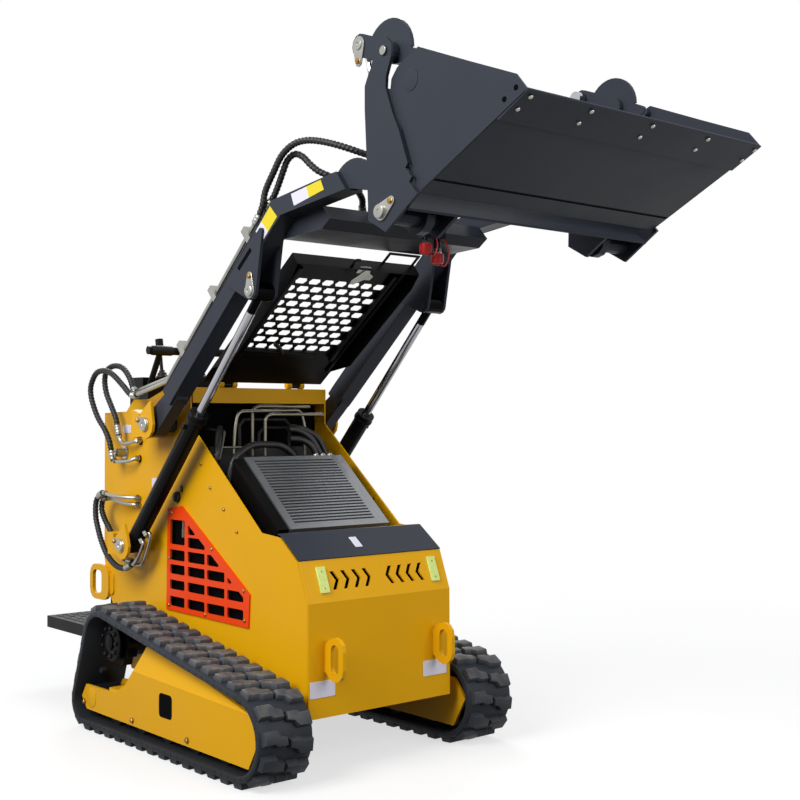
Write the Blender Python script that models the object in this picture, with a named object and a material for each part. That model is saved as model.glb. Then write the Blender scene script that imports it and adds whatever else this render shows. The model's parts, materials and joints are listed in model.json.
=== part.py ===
"""Mini skid steer loader on rubber tracks: arms raised, hood open, four-in-one bucket.

Frame: metres, +Z up, the front faces -Y, the machine's right side is -X,
the tracks stand on Z = 0. Side profiles are (Y, Z) pairs, extruded along X.
"""
import math

import bmesh
import bpy
import numpy as np
from mathutils import Vector

for old in list(bpy.data.objects):
    bpy.data.objects.remove(old)

# name, sign of X
SIDES = (("right", -1.0), ("left", 1.0))
SKIN_GAP = 0.0003
PLATE = 0.006
ROUND = 16

# body shell
BODY_HALF = 0.300
INNER_HALF = BODY_HALF - PLATE - SKIN_GAP
FRONT_LOW = (-0.411, 0.185)
FRONT_CREASE = (-0.409, 0.545)
FACE_TOP = (-0.360, 0.674)
COVER_REAR = (-0.256, 0.750)
SLOPE_FOOT = (-0.149, 0.752)
SLOPE_TOP = (0.287, 1.105)
BAR_TOP = (0.287, 1.235)
BELLY_REAR_Y = 0.700
REAR_LOW = (0.864, 0.430)
REAR_Y = 0.918
PLATFORM_REAR = 1.5227
DECK = ((0.442, 1.236), (0.579, 1.196), (0.690, 1.195), (0.747, 1.151), (0.918, 1.146))
BAR_LOW_Z = 1.180
BAR_DEPTH = 0.030

# tie-down eyes: outer radius, slot radius, thickness, reach from the body, slot centres
EYE_R = 0.042
EYE_HOLE = 0.019
EYE_T = 0.014
EYE_REACH = 0.092
REAR_EYE_WIDE = 0.034
FRONT_EYE_X = 0.230
FRONT_EYE = (0.344, 0.400)
REAR_EYE = (0.462, 0.514)

# vent opening of the side panels: Y, Z
VENT = ((0.431, 0.800), (0.336, 0.814), (-0.093, 0.544), (-0.087, 0.432), (0.439, 0.437))
# vent slots: columns as rear Y, front Y; rows as top Z, low Z, first and last column
VENT_COLUMNS = ((0.413, 0.314), (0.293, 0.182), (0.167, 0.057), (0.040, -0.057))
VENT_ROWS = (
    (0.762, 0.674, 0, 0),
    (0.750, 0.714, 1, 1),
    (0.705, 0.668, 1, 1),
    (0.655, 0.617, 0, 2),
    (0.602, 0.568, 0, 3),
    (0.547, 0.513, 0, 3),
    (0.488, 0.453, 0, 3),
)
VENT_MARGIN = 0.036
VENT_CORNER = 0.005

# undercarriage: circles of the belt's path (Y, Z, radius of the carcass outside)
IDLER = (-0.340, 0.155, 0.135)
REAR_WHEEL = (0.653, 0.100, 0.080)
SPROCKET = (0.535, 0.325, 0.115)
TRACK_IN = BODY_HALF + 0.030
TRACK_OUT = TRACK_IN + 0.200
BELT = 0.022
LUG = 0.020
LUG_PITCH = 0.072
FRAME_IN = TRACK_IN + 0.015
FRAME_OUT = TRACK_OUT - 0.027
FRAME_SIDE = (
    (-0.388, 0.230), (-0.438, 0.163), (-0.380, 0.064), (0.662, 0.070), (0.700, 0.112),
    (0.668, 0.158), (0.455, 0.160), (0.380, 0.200), (0.325, 0.256),
)
# crease of the outer plate and the crest of its slanted top, with the crest's X
FRAME_CREASE = ((-0.388, 0.230), (0.325, 0.256))
FRAME_CREST = ((-0.320, 0.246), (0.320, 0.352))
CREST_X = TRACK_IN + 0.110
# track rollers: Y
ROLLERS = (-0.215, -0.041, 0.133, 0.307, 0.481)
ROLLER_R = 0.048

# arms: pivot, bucket pin, clam hinge, clam crank, cylinder pins (Y, Z)
ARM_PIN = (0.405, 1.104)
ARM_IN = BODY_HALF + 0.032
ARM_OUT = ARM_IN + 0.066
EAR_IN = ARM_OUT + 0.005
EAR_OUT = EAR_IN + 0.010
ARM_TOP = ((0.312, 1.222), (-0.348, 1.803), (-0.672, 1.845))
ARM_LOW = ((-0.717, 1.788), (-0.393, 1.7515), (0.2665, 1.1705))
EAR_ROUND = (-0.735, 1.765, 0.112)
EAR_LOW = ((-0.848, 1.764), (-0.794, 1.778), (-0.700, 1.794), (-0.643, 1.792))
EAR_TONGUE = ((-0.740, 1.825), (-0.985, 1.731), (-0.965, 1.700), (-0.915, 1.748), (-0.794, 1.778),
              (-0.740, 1.788))
CROSS_TUBE = ((-0.318, 1.690), (-0.372, 1.752), (-0.520, 1.772), (-0.560, 1.728), (-0.520, 1.700))
BUCKET_PIN = (-1.003, 1.675)
CLAM_PIN = (-1.012, 2.105)
CRANK_PIN = (-0.868, 2.158)
LIFT_TOP = (-0.246, 1.528)
LIFT_LOW = (0.576, 0.662)
LIFT_X = 0.5 * (ARM_IN + ARM_OUT)
# half widths of the cylinder eyes
LIFT_EYE = 0.030
TILT_EYE = 0.030
CLAM_EYE = 0.014
TILT_BACK = (-0.420, 1.815)
TILT_FRONT = (-0.930, 1.800)
CLAM_LOW = (-0.972, 1.782)
CLAM_X = 0.440

# cylinders: barrel radius, rod radius, barrel length from its pin, eye radius, rod's inner end from that pin
LIFT_CYL = (0.031, 0.0155, 0.657, 0.030, 0.360)
TILT_CYL = (0.029, 0.0150, 0.352, 0.028, 0.165)
CLAM_CYL = (0.0225, 0.0120, 0.225, 0.022, 0.165)
BORE_FOOT = 0.036

# bucket
OUTER_IN = 0.490
OUTER_OUT = 0.500
INNER_LUG = 0.311
OUTER_PLATE = (
    (-0.992, 2.135), (-0.962, 2.085), (-0.930, 2.026), (-0.930, 1.963), (-0.938, 1.832), (-0.946, 1.659),
    (-1.017, 1.620), (-1.145, 1.705), (-1.113, 1.740), (-1.123, 1.752), (-1.098, 1.779), (-1.107, 1.790),
    (-1.072, 1.882), (-1.046, 1.932), (-1.017, 2.006), (-1.019, 2.036), (-1.040, 2.085), (-1.042, 2.118),
    (-1.020, 2.140),
)
INNER_PLATE = (
    (-0.986, 1.862), (-0.950, 1.800), (-0.946, 1.659), (-1.017, 1.620), (-1.098, 1.672), (-1.058, 1.714),
    (-1.018, 1.782),
)
MOLD = ((-0.972, 2.018), (-0.968, 1.980), (-0.978, 1.880), (-1.014, 1.780), (-1.054, 1.712), (-1.100, 1.668))
MOLD_T = 0.008
CLAM_OUT = 0.484
CLAM_SIDE = (
    (-1.130, 2.093), (-1.072, 2.070), (-1.045, 2.055), (-1.023, 2.030), (-1.019, 2.003), (-1.038, 1.956),
    (-1.095, 1.809), (-1.132, 1.708), (-1.516, 1.9045), (-1.518, 1.908), (-1.482, 1.950), (-1.320, 2.015),
)
HEEL = (-1.132, 1.708)
LIP = (-1.519, 1.904)
FLOOR_T = 0.008
EDGE_LEN = 0.115
EDGE_T = 0.006

# hood: hinge, direction of its skin when open, length, half width
HOOD_PIN = (0.283, 1.247)
HOOD_DIR = (-0.8017, 0.5977)
HOOD_LEN = 0.690
HOOD_HALF = 0.262
HOOD_WALL = 0.060
HOOD_LIP = 0.046
HINGE_X = 0.150
HINGE_HALF = 0.018
MESH_ALONG = (0.205, 0.585)
MESH_HALF = 0.210
MESH_ROWS = 10
MESH_COLS = 7

# pipes and hoses: points X, Y, Z; the lower hoses are for the right side and mirrored
HOSE_R = 0.011
PIPE_R = 0.008
CLAMP_H = 0.062
PIPE_CLAMPS = (0.20, 0.50, 0.80)
PIPES = (
    ((-0.378, 0.525, 1.212), (-0.378, 0.315, 1.254), (-0.376, -0.222, 1.745)),
    ((-0.352, 0.566, 1.226), (-0.352, 0.335, 1.270), (-0.350, -0.250, 1.792)),
)
HOSES = (
    ("arm_hose_long", (
        (-0.3760, -0.2225, 1.7455), (-0.3758, -0.2430, 1.7642), (-0.3725, -0.262, 1.800),
        (-0.370, -0.274, 1.845), (-0.370, -0.319, 1.899),
        (-0.368, -0.359, 1.944), (-0.362, -0.408, 1.971), (-0.350, -0.456, 1.978), (-0.335, -0.509, 1.970),
        (-0.312, -0.567, 1.952), (-0.270, -0.620, 1.928), (-0.200, -0.640, 1.908), (-0.130, -0.600, 1.880),
        (-0.095, -0.520, 1.828), (-0.067, -0.458, 1.792), (-0.0425, -0.458, 1.792))),
    ("arm_hose_short", (
        (-0.3500, -0.2505, 1.7925), (-0.3498, -0.2720, 1.8117), (-0.347, -0.292, 1.834),
        (-0.345, -0.312, 1.866), (-0.345, -0.337, 1.905),
        (-0.342, -0.355, 1.935), (-0.335, -0.384, 1.950), (-0.325, -0.412, 1.938), (-0.315, -0.437, 1.912),
        (-0.300, -0.463, 1.888), (-0.270, -0.491, 1.870), (-0.200, -0.500, 1.850), (-0.120, -0.450, 1.828),
        (-0.090, -0.416, 1.797), (-0.067, -0.402, 1.777), (-0.0425, -0.402, 1.777))),
    ("rear_hose_outer", (
        (-0.378, 0.5256, 1.2118), (-0.378, 0.5450, 1.2079), (-0.380, 0.575, 1.214),
        (-0.383, 0.621, 1.245), (-0.386, 0.692, 1.287),
        (-0.386, 0.756, 1.304), (-0.386, 0.822, 1.297), (-0.386, 0.862, 1.259), (-0.384, 0.873, 1.222),
        (-0.380, 0.860, 1.177), (-0.372, 0.835, 1.126), (-0.364, 0.797, 1.082), (-0.358, 0.771, 1.038),
        (-0.354, 0.762, 1.000), (-0.350, 0.748, 0.966), (-0.345, 0.715, 0.957), (-0.338, 0.668, 0.965),
        (-0.322, 0.640, 0.975), (-0.3005, 0.640, 0.975))),
    ("rear_hose_middle", (
        (-0.352, 0.5666, 1.2258), (-0.352, 0.5830, 1.2226), (-0.352, 0.602, 1.236),
        (-0.352, 0.628, 1.274), (-0.352, 0.678, 1.312),
        (-0.352, 0.743, 1.323), (-0.352, 0.801, 1.309), (-0.351, 0.823, 1.272), (-0.349, 0.813, 1.221),
        (-0.346, 0.779, 1.170), (-0.343, 0.751, 1.126), (-0.341, 0.736, 1.082), (-0.339, 0.726, 1.048),
        (-0.336, 0.703, 1.031), (-0.332, 0.662, 1.034), (-0.320, 0.630, 1.042), (-0.3005, 0.630, 1.042))),
)
LOWER_HOSES = (
    ("_lower_hose_outer", (
        (0.3005, 0.640, 0.829), (0.320, 0.640, 0.829), (0.340, 0.662, 0.830), (0.358, 0.700, 0.832),
        (0.368, 0.750, 0.836), (0.372, 0.795, 0.842), (0.375, 0.840, 0.812), (0.378, 0.840, 0.753),
        (0.380, 0.816, 0.704), (0.382, 0.785, 0.660), (0.384, 0.735, 0.612), (0.384, 0.670, 0.580),
        (0.380, 0.612, 0.574), (0.374, 0.567, 0.592))),
    ("_lower_hose_inner", (
        (0.3005, 0.640, 0.803), (0.320, 0.640, 0.803), (0.335, 0.672, 0.806), (0.343, 0.730, 0.812),
        (0.346, 0.795, 0.824), (0.349, 0.835, 0.816), (0.351, 0.844, 0.780), (0.353, 0.820, 0.745),
        (0.354, 0.775, 0.706), (0.354, 0.737, 0.667), (0.352, 0.700, 0.622), (0.350, 0.655, 0.600),
        (0.350, 0.600, 0.594))),
)
SERVICE_PORT = (0.752, 0.995)

# bay
RAD_TOP = (0.077, 0.991)
RAD_LOW = (-0.195, 0.7605)
RAD_HALF = 0.212
RAD_DEPTH = 0.050
# side brackets of the shroud: Y, Y, Z, Z
SHROUD_FOOT = (-0.012, 0.022, 0.795, 0.833)
ENGINE = (0.190, 0.320, 0.700, 0.330, 0.860)


def material(name, rgb, metallic, roughness):
    found = bpy.data.materials.get(name)
    if found:
        return found
    made = bpy.data.materials.new(name)
    made.use_nodes = True
    shader = made.node_tree.nodes["Principled BSDF"]
    shader.inputs["Base Color"].default_value = (*rgb, 1.0)
    shader.inputs["Metallic"].default_value = metallic
    shader.inputs["Roughness"].default_value = roughness
    made.diffuse_color = (*rgb, 1.0)
    return made


YELLOW = ("body_yellow", (0.75, 0.36, 0.01), 0.0, 0.35)
SLATE = ("slate_paint", (0.06, 0.068, 0.085), 0.0, 0.4)
BLACK = ("black_paint", (0.012, 0.012, 0.013), 0.0, 0.45)
ORANGE = ("guard_orange", (0.78, 0.06, 0.01), 0.0, 0.4)
RUBBER = ("track_rubber", (0.03, 0.032, 0.036), 0.0, 0.85)
HOSE = ("hose_rubber", (0.015, 0.015, 0.017), 0.0, 0.6)
CHROME = ("rod_chrome", (0.75, 0.76, 0.78), 1.0, 0.15)
ZINC = ("zinc_steel", (0.6, 0.62, 0.63), 1.0, 0.35)
ALUMINIUM = ("radiator_aluminium", (0.5, 0.52, 0.54), 1.0, 0.4)
RED = ("red_cap", (0.6, 0.01, 0.01), 0.0, 0.4)
IRON = ("engine_iron", (0.05, 0.05, 0.052), 0.3, 0.6)


def mesh_object(name, verts, faces):
    data = bpy.data.meshes.new(name)
    data.from_pydata([tuple(v) for v in verts], [], [tuple(f) for f in faces])
    shape = bmesh.new()
    shape.from_mesh(data)
    bmesh.ops.recalc_face_normals(shape, faces=shape.faces)
    shape.to_mesh(data)
    shape.free()
    made = bpy.data.objects.new(name, data)
    bpy.context.collection.objects.link(made)
    return made


def area(points):
    total = 0.0
    for (y0, z0), (y1, z1) in zip(points, points[1:] + points[:1]):
        total += y0 * z1 - y1 * z0
    return total


def prism(points, x0, x1):
    """A (Y, Z) outline extruded from x0 to x1."""
    points = list(points)
    if area(points) < 0:
        points.reverse()
    x0, x1 = min(x0, x1), max(x0, x1)
    count = len(points)
    verts = [(x0, y, z) for y, z in points] + [(x1, y, z) for y, z in points]
    faces = [tuple(range(count))[::-1], tuple(range(count, 2 * count))]
    for i in range(count):
        j = (i + 1) % count
        faces.append((i, j, count + j, count + i))
    return verts, faces


def box(x0, x1, y0, y1, z0, z1):
    return prism(((y0, z0), (y1, z0), (y1, z1), (y0, z1)), x0, x1)


def rod(start, end, radius, sides=ROUND):
    """A round bar from start to end."""
    start, end = Vector(start), Vector(end)
    axis = (end - start).normalized()
    turn = axis.to_track_quat("Z", "Y")
    verts = []
    for base in (start, end):
        for i in range(sides):
            angle = 2.0 * math.pi * (i + 0.5) / sides
            offset = Vector((math.cos(angle) * radius, math.sin(angle) * radius, 0.0))
            verts.append(base + turn @ offset)
    faces = [tuple(range(sides))[::-1], tuple(range(sides, 2 * sides))]
    for i in range(sides):
        j = (i + 1) % sides
        faces.append((i, j, sides + j, sides + i))
    return verts, faces


def cross_rod(point, radius, x0, x1, sides=ROUND):
    """A round bar along X through a (Y, Z) point."""
    return rod((x0, *point), (x1, *point), radius, sides)


def hull(circles, step=12):
    """Convex outline around circles given as (Y, Z, radius)."""
    points = []
    for y, z, radius in circles:
        for i in range(step):
            angle = 2.0 * math.pi * i / step
            points.append((y + radius * math.cos(angle), z + radius * math.sin(angle)))
    points = sorted(set(points))

    def half(ordered):
        kept = []
        for p in ordered:
            while len(kept) > 1:
                (ay, az), (by, bz) = kept[-2], kept[-1]
                if (by - ay) * (p[1] - az) - (bz - az) * (p[0] - ay) > 1e-9:
                    break
                kept.pop()
            kept.append(p)
        return kept[:-1]

    return half(points) + half(points[::-1])


def strip(line, thickness):
    """Outline of a plate of one thickness laid to the left of an open (Y, Z) line."""
    line = [Vector(p) for p in line]
    offset = []
    for i, point in enumerate(line):
        before = (point - line[i - 1]).normalized() if i else None
        after = (line[i + 1] - point).normalized() if i + 1 < len(line) else None
        first = before or after
        second = after or before
        along = (first + second).normalized()
        normal = Vector((-along.y, along.x))
        scale = thickness / max(0.3, normal.dot(Vector((-first.y, first.x))))
        offset.append(point + normal * scale)
    return [tuple(p) for p in line] + [tuple(p) for p in reversed(offset)]


def evaluated(base):
    graph = bpy.context.evaluated_depsgraph_get()
    return bpy.data.meshes.new_from_object(base.evaluated_get(graph))


def combine(base, other, operation):
    step = base.modifiers.new("step", "BOOLEAN")
    step.operation = operation
    step.solver = "EXACT"
    step.object = other
    bpy.context.view_layer.update()
    result = evaluated(base)
    base.modifiers.clear()
    base.data = result
    bpy.data.objects.remove(other)


def solid(name, paint, parts, cuts=(), smooth=False):
    """One closed body: the union of parts less the cuts."""
    made = mesh_object(name, *parts[0])
    for number, part in enumerate(parts[1:]):
        combine(made, mesh_object(name + "_add%d" % number, *part), "UNION")
    if cuts:
        verts, faces = [], []
        for cut_verts, cut_faces in cuts:
            start = len(verts)
            verts += list(cut_verts)
            faces += [tuple(i + start for i in face) for face in cut_faces]
        combine(made, mesh_object(name + "_cut", verts, faces), "DIFFERENCE")
    made.data.materials.clear()
    made.data.materials.append(material(*paint))
    for polygon in made.data.polygons:
        polygon.use_smooth = smooth
    return made


def tube(name, paint, points, radius, resolution=2):
    """A round tube along a smooth line through the points."""
    points = [Vector(p) for p in points]
    fine = []
    for i in range(len(points) - 1):
        p0 = points[max(i - 1, 0)]
        p1, p2 = points[i], points[i + 1]
        p3 = points[min(i + 2, len(points) - 1)]
        # the end legs stay straight, so each end is square to its fitting
        steps = 1 if i in (0, len(points) - 2) else 2
        for k in range(steps):
            t = k / steps
            fine.append(0.5 * (2 * p1 + (p2 - p0) * t + (2 * p0 - 5 * p1 + 4 * p2 - p3) * t * t
                               + (3 * p1 - p0 - 3 * p2 + p3) * t ** 3))
    fine.append(points[-1])
    data = bpy.data.curves.new(name, "CURVE")
    data.dimensions = "3D"
    data.bevel_depth = radius
    data.bevel_resolution = resolution - 1
    data.use_fill_caps = True
    spline = data.splines.new("POLY")
    spline.points.add(len(fine) - 1)
    for target, point in zip(spline.points, fine):
        target.co = (*point, 1.0)
    made = bpy.data.objects.new(name, data)
    data.materials.append(material(*paint))
    bpy.context.collection.objects.link(made)
    return made


def bent_rod(points, radius, sides=8):
    """A round bar along straight legs, mitred at the corners."""
    points = [Vector(p) for p in points]
    turn = (points[1] - points[0]).normalized().to_track_quat("Z", "Y")
    ring = []
    for i in range(sides):
        angle = 2.0 * math.pi * (i + 0.5) / sides
        ring.append(turn @ Vector((math.cos(angle) * radius, math.sin(angle) * radius, 0.0)))
    verts = [points[0] + offset for offset in ring]
    for before, here, after in zip(points, points[1:], points[2:]):
        incoming = (here - before).normalized()
        outgoing = (after - here).normalized()
        mitre = (incoming + outgoing).normalized()
        for offset in ring:
            verts.append(here + offset - incoming * (offset.dot(mitre) / incoming.dot(mitre)))
        bend = incoming.rotation_difference(outgoing)
        ring = [bend @ offset for offset in ring]
    verts += [points[-1] + offset for offset in ring]
    count = len(points)
    faces = [tuple(range(sides))[::-1], tuple(range((count - 1) * sides, count * sides))]
    for i in range(count - 1):
        for k in range(sides):
            m = (k + 1) % sides
            faces.append((i * sides + k, i * sides + m, (i + 1) * sides + m, (i + 1) * sides + k))
    return verts, faces


def belt_path(shrink):
    """Convex path round the three wheels: points and outward normals, evenly dense."""
    points, normals = [], []
    circles = [(y, z, radius - shrink) for y, z, radius in (IDLER, REAR_WHEEL, SPROCKET)]
    for i in range(2880):
        angle = 2.0 * math.pi * i / 2880
        ny, nz = math.cos(angle), math.sin(angle)
        y, z, radius = max(circles, key=lambda c: c[0] * ny + c[1] * nz + c[2])
        points.append((y + radius * ny, z + radius * nz))
        normals.append((ny, nz))
    return np.array(points), np.array(normals)


def build_track(name, sign):
    """The belt as one ring with two staggered rows of lugs in its outline."""
    points, normals = belt_path(0.0)
    closed = np.vstack([points, points[:1]])
    turned = np.vstack([normals, normals[:1]])
    length = np.concatenate([[0.0], np.cumsum(np.linalg.norm(np.diff(closed, axis=0), axis=1))])
    pitches = round(length[-1] / LUG_PITCH)
    pitch = length[-1] / pitches
    stations = []
    for i in range(pitches):
        # place in the pitch, outer row raised, inner row raised
        for place, outer, inner in ((0.0, 0, 1), (0.09, 1, 0), (0.50, 1, 0), (0.59, 0, 1)):
            stations.append(((i + place) * pitch, outer, inner))
    middle = 0.5 * (TRACK_IN + TRACK_OUT)
    verts = []
    for distance, outer, inner in stations:
        y = np.interp(distance, length, closed[:, 0])
        z = np.interp(distance, length, closed[:, 1])
        ny = np.interp(distance, length, turned[:, 0])
        nz = np.interp(distance, length, turned[:, 1])
        scale = math.hypot(ny, nz)
        ny, nz = ny / scale, nz / scale
        for x, lift in ((TRACK_IN, -BELT), (TRACK_IN, inner * LUG), (middle - 0.004, inner * LUG),
                        (middle + 0.004, outer * LUG), (TRACK_OUT, outer * LUG), (TRACK_OUT, -BELT)):
            verts.append((sign * x, y + ny * lift, z + nz * lift))
    faces = []
    count = len(stations)
    for i in range(count):
        a, b = 6 * i, 6 * ((i + 1) % count)
        for k in range(6):
            m = (k + 1) % 6
            faces.append((a + k, a + m, b + m, b + k))
    made = mesh_object(name, verts, faces)
    made.data.materials.append(material(*RUBBER))
    return made


def cylinder_pair(names, paints, low, top, x, sizes, eye_half):
    """Barrel and rod between two pins: the barrel holds the low pin, the rod the top pin."""
    barrel_r, rod_r, barrel_len, eye_r, tail = sizes
    low3, top3 = Vector((x, *low)), Vector((x, *top))
    along = (top3 - low3).normalized()
    gland = low3 + along * barrel_len
    start = low3 + along * (eye_r * 0.85)
    solid(names[0], paints[0], [
        rod(start, gland, barrel_r),
        cross_rod(low, eye_r, x - eye_half, x + eye_half),
        rod(gland - along * 0.030, gland + along * 0.004, barrel_r * 1.10),
    ], [rod(low3 + along * BORE_FOOT, gland + along * 0.02, rod_r + 0.001)], True)
    solid(names[1], paints[1], [
        rod(low3 + along * tail, top3 - along * (eye_r * 0.6), rod_r),
        cross_rod(top, eye_r, x - eye_half, x + eye_half),
    ], (), True)


def build_body():
    lower = [FRONT_LOW, FRONT_CREASE, FACE_TOP, COVER_REAR, SLOPE_FOOT, SLOPE_TOP, BAR_TOP]
    tail = [*DECK, (REAR_Y, 0.585), REAR_LOW, (BELLY_REAR_Y, FRONT_LOW[1])]
    skin = PLATE + SKIN_GAP
    inset = [(y + skin * 1.12, z) for y, z in lower[:3]] + lower[3:]
    inset[2] = (inset[2][0], inset[2][1] - 0.004)
    deck_line = [*reversed(DECK), (BAR_TOP[0] + 0.024, BAR_TOP[1])]
    under_deck = strip(deck_line, skin)[len(deck_line):]
    inset[-1] = (BAR_TOP[0], BAR_TOP[1] - skin)
    inset += under_deck[1:-1]
    inset += [(REAR_Y - skin, DECK[-1][1] - skin), (REAR_Y - skin, 0.585),
              (REAR_LOW[0] - 0.004, REAR_LOW[1]), tail[-1]]
    inset[3] = (COVER_REAR[0], COVER_REAR[1] - 0.008)
    inset[4] = (SLOPE_FOOT[0], SLOPE_FOOT[1] - 0.002)
    for side, sign in SIDES:
        hole = [(0.5 * (y - 0.18) + 0.18 + (y - 0.18) * 0.44, z + (0.6 - z) * 0.06) for y, z in VENT]
        eye_y = REAR_Y + EYE_REACH - EYE_R
        ring = hull([(y, z, EYE_R) for y in (eye_y, eye_y - 0.066) for z in REAR_EYE])
        foot = hull([(REAR_LOW[0] - 0.012, z, 0.016) for z in REAR_EYE])
        slot = hull([(y, z, EYE_HOLE) for y in (eye_y, eye_y - REAR_EYE_WIDE) for z in REAR_EYE])
        solid(side + "_side_panel", YELLOW, [prism(inset, sign * (BODY_HALF - PLATE), sign * BODY_HALF),
                                             prism(foot, sign * (BODY_HALF - 0.001), sign * (BODY_HALF + 0.006)),
                                             prism(ring, sign * (BODY_HALF + SKIN_GAP), sign * (BODY_HALF + EYE_T))],
              [prism(hole, sign * (BODY_HALF - 0.02), sign * (BODY_HALF + 0.02)),
               prism(slot, sign * (BODY_HALF - 0.02), sign * (BODY_HALF + 0.03))])
        slots = []
        for high, low, first, last in VENT_ROWS:
            for rear, fore in VENT_COLUMNS[first:last + 1]:
                shape = hull([(y, z, VENT_CORNER) for y, z in vent_slot(rear, fore, high, low)], 8)
                slots.append(prism(shape, sign * (BODY_HALF - 0.02), sign * (BODY_HALF + 0.03)))
        solid(side + "_vent_guard", ORANGE,
              [prism(VENT, sign * (BODY_HALF + SKIN_GAP), sign * (BODY_HALF + 0.006))], slots)

    front = strip([FACE_TOP, FRONT_CREASE, FRONT_LOW], PLATE)
    parts = [prism(front, -BODY_HALF, BODY_HALF)]
    cuts = chevrons()
    eye_y = FRONT_LOW[0] - EYE_REACH + EYE_R
    ring = hull([(eye_y, z, EYE_R) for z in FRONT_EYE] + [(FRONT_LOW[0] + 0.002, z, 0.010) for z in FRONT_EYE])
    slot = hull([(eye_y, z, EYE_HOLE) for z in FRONT_EYE])
    for x in (-FRONT_EYE_X, FRONT_EYE_X):
        parts.append(prism(ring, x - EYE_T / 2, x + EYE_T / 2))
        cuts.append(prism(slot, x - 0.02, x + 0.02))
    solid("front_panel", YELLOW, parts, cuts)

    cover = strip([(COVER_REAR[0] + 0.012, COVER_REAR[1]), COVER_REAR,
                   (FACE_TOP[0], FACE_TOP[1] + SKIN_GAP)], -0.004)
    solid("front_cover_plate", SLATE, [prism(cover, -BODY_HALF, BODY_HALF)])

    bar_y = BAR_TOP[0] - 0.008
    bar = [box(-INNER_HALF, INNER_HALF, bar_y, bar_y + BAR_DEPTH, BAR_LOW_Z, BAR_TOP[1])]
    for x in (-HINGE_X, HINGE_X):
        for side in (-1.0, 1.0):
            bar.append(cross_rod(HOOD_PIN, 0.0125, x + side * (HINGE_HALF + SKIN_GAP), x + side * 0.038, 12))
    solid("top_crossbar", YELLOW, bar)
    deck = strip(deck_line, PLATE)
    solid("rear_deck", YELLOW, [prism(deck, -BODY_HALF, BODY_HALF)])
    rear = strip([(REAR_LOW[0] + 0.004, REAR_LOW[1]), (REAR_Y, 0.585), (REAR_Y, DECK[-1][1] - skin)], PLATE)
    solid("rear_panel", YELLOW, [prism(rear, -BODY_HALF, BODY_HALF)])
    belly = ((FRONT_LOW[0] + 0.008, FRONT_LOW[1]), (BELLY_REAR_Y - 0.002, FRONT_LOW[1]),
             (REAR_LOW[0] - 0.004, REAR_LOW[1]), (REAR_LOW[0] - 0.012, REAR_LOW[1] + 0.001),
             (BELLY_REAR_Y - 0.006, FRONT_LOW[1] + PLATE), (FRONT_LOW[0] + 0.008, FRONT_LOW[1] + PLATE))
    under = FRONT_LOW[1] + 0.002
    solid("belly_frame", BLACK, [prism(belly, -INNER_HALF, INNER_HALF),
                                 box(-0.060, 0.060, 0.080, 0.460, 0.120, under),
                                 box(-FRAME_IN, FRAME_IN, 0.020, 0.120, 0.120, FRONT_LOW[1] - SKIN_GAP),
                                 box(-FRAME_IN, FRAME_IN, 0.420, 0.520, 0.120, FRONT_LOW[1] - SKIN_GAP)])


def vent_slot(rear, fore, high, low):
    """Corner centres of one slot, cut off along the guard's slanted edge."""
    (y1, z1), (y0, z0) = VENT[1], VENT[2]
    slope = (z1 - z0) / (y1 - y0)

    def line(y):
        return z1 + (y - y1) * slope - VENT_MARGIN * math.hypot(1.0, slope)

    rear, fore, high, low = rear - VENT_CORNER, fore + VENT_CORNER, high - VENT_CORNER, low + VENT_CORNER
    if line(fore) >= high:
        return [(rear, low), (rear, high), (fore, high), (fore, low)]
    corners = [(rear, low), (rear, min(high, line(rear)))]
    if line(rear) > high:
        corners.append((y1 + (high - line(y1)) / slope, high))
    if line(fore) > low:
        corners += [(fore, line(fore)), (fore, low)]
    else:
        corners.append((y1 + (low - line(y1)) / slope, low))
    return corners


def chevrons():
    """Slots cut through the slanted face, four pointing each way."""
    cuts = []
    base, top = Vector(FRONT_CREASE), Vector(FACE_TOP)
    along = (top - base).normalized()
    out = Vector((-along.y, along.x))
    # first X, step, direction
    for first, step, direction in ((-0.176, 0.044, 1), (0.052, 0.044, -1)):
        for i in range(4):
            centre = first + step * i
            verts = []
            outline = ((-0.016, 0.030), (0.000, 0.030), (0.018, 0.0),
                       (0.000, -0.030), (-0.016, -0.030), (0.002, 0.0))
            for depth in (-0.02, 0.02):
                for dx, dl in outline:
                    place = base + along * (0.068 + dl) + out * depth
                    verts.append((centre + direction * dx, place.x, place.y))
            faces = [(0, 1, 2, 5), (5, 2, 3, 4), (11, 8, 7, 6), (10, 9, 8, 11)]
            for a in range(6):
                b = (a + 1) % 6
                faces.append((a, a + 6, b + 6, b))
            if direction < 0:
                faces = [face[::-1] for face in faces]
            cuts.append((verts, faces))
    return cuts


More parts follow.
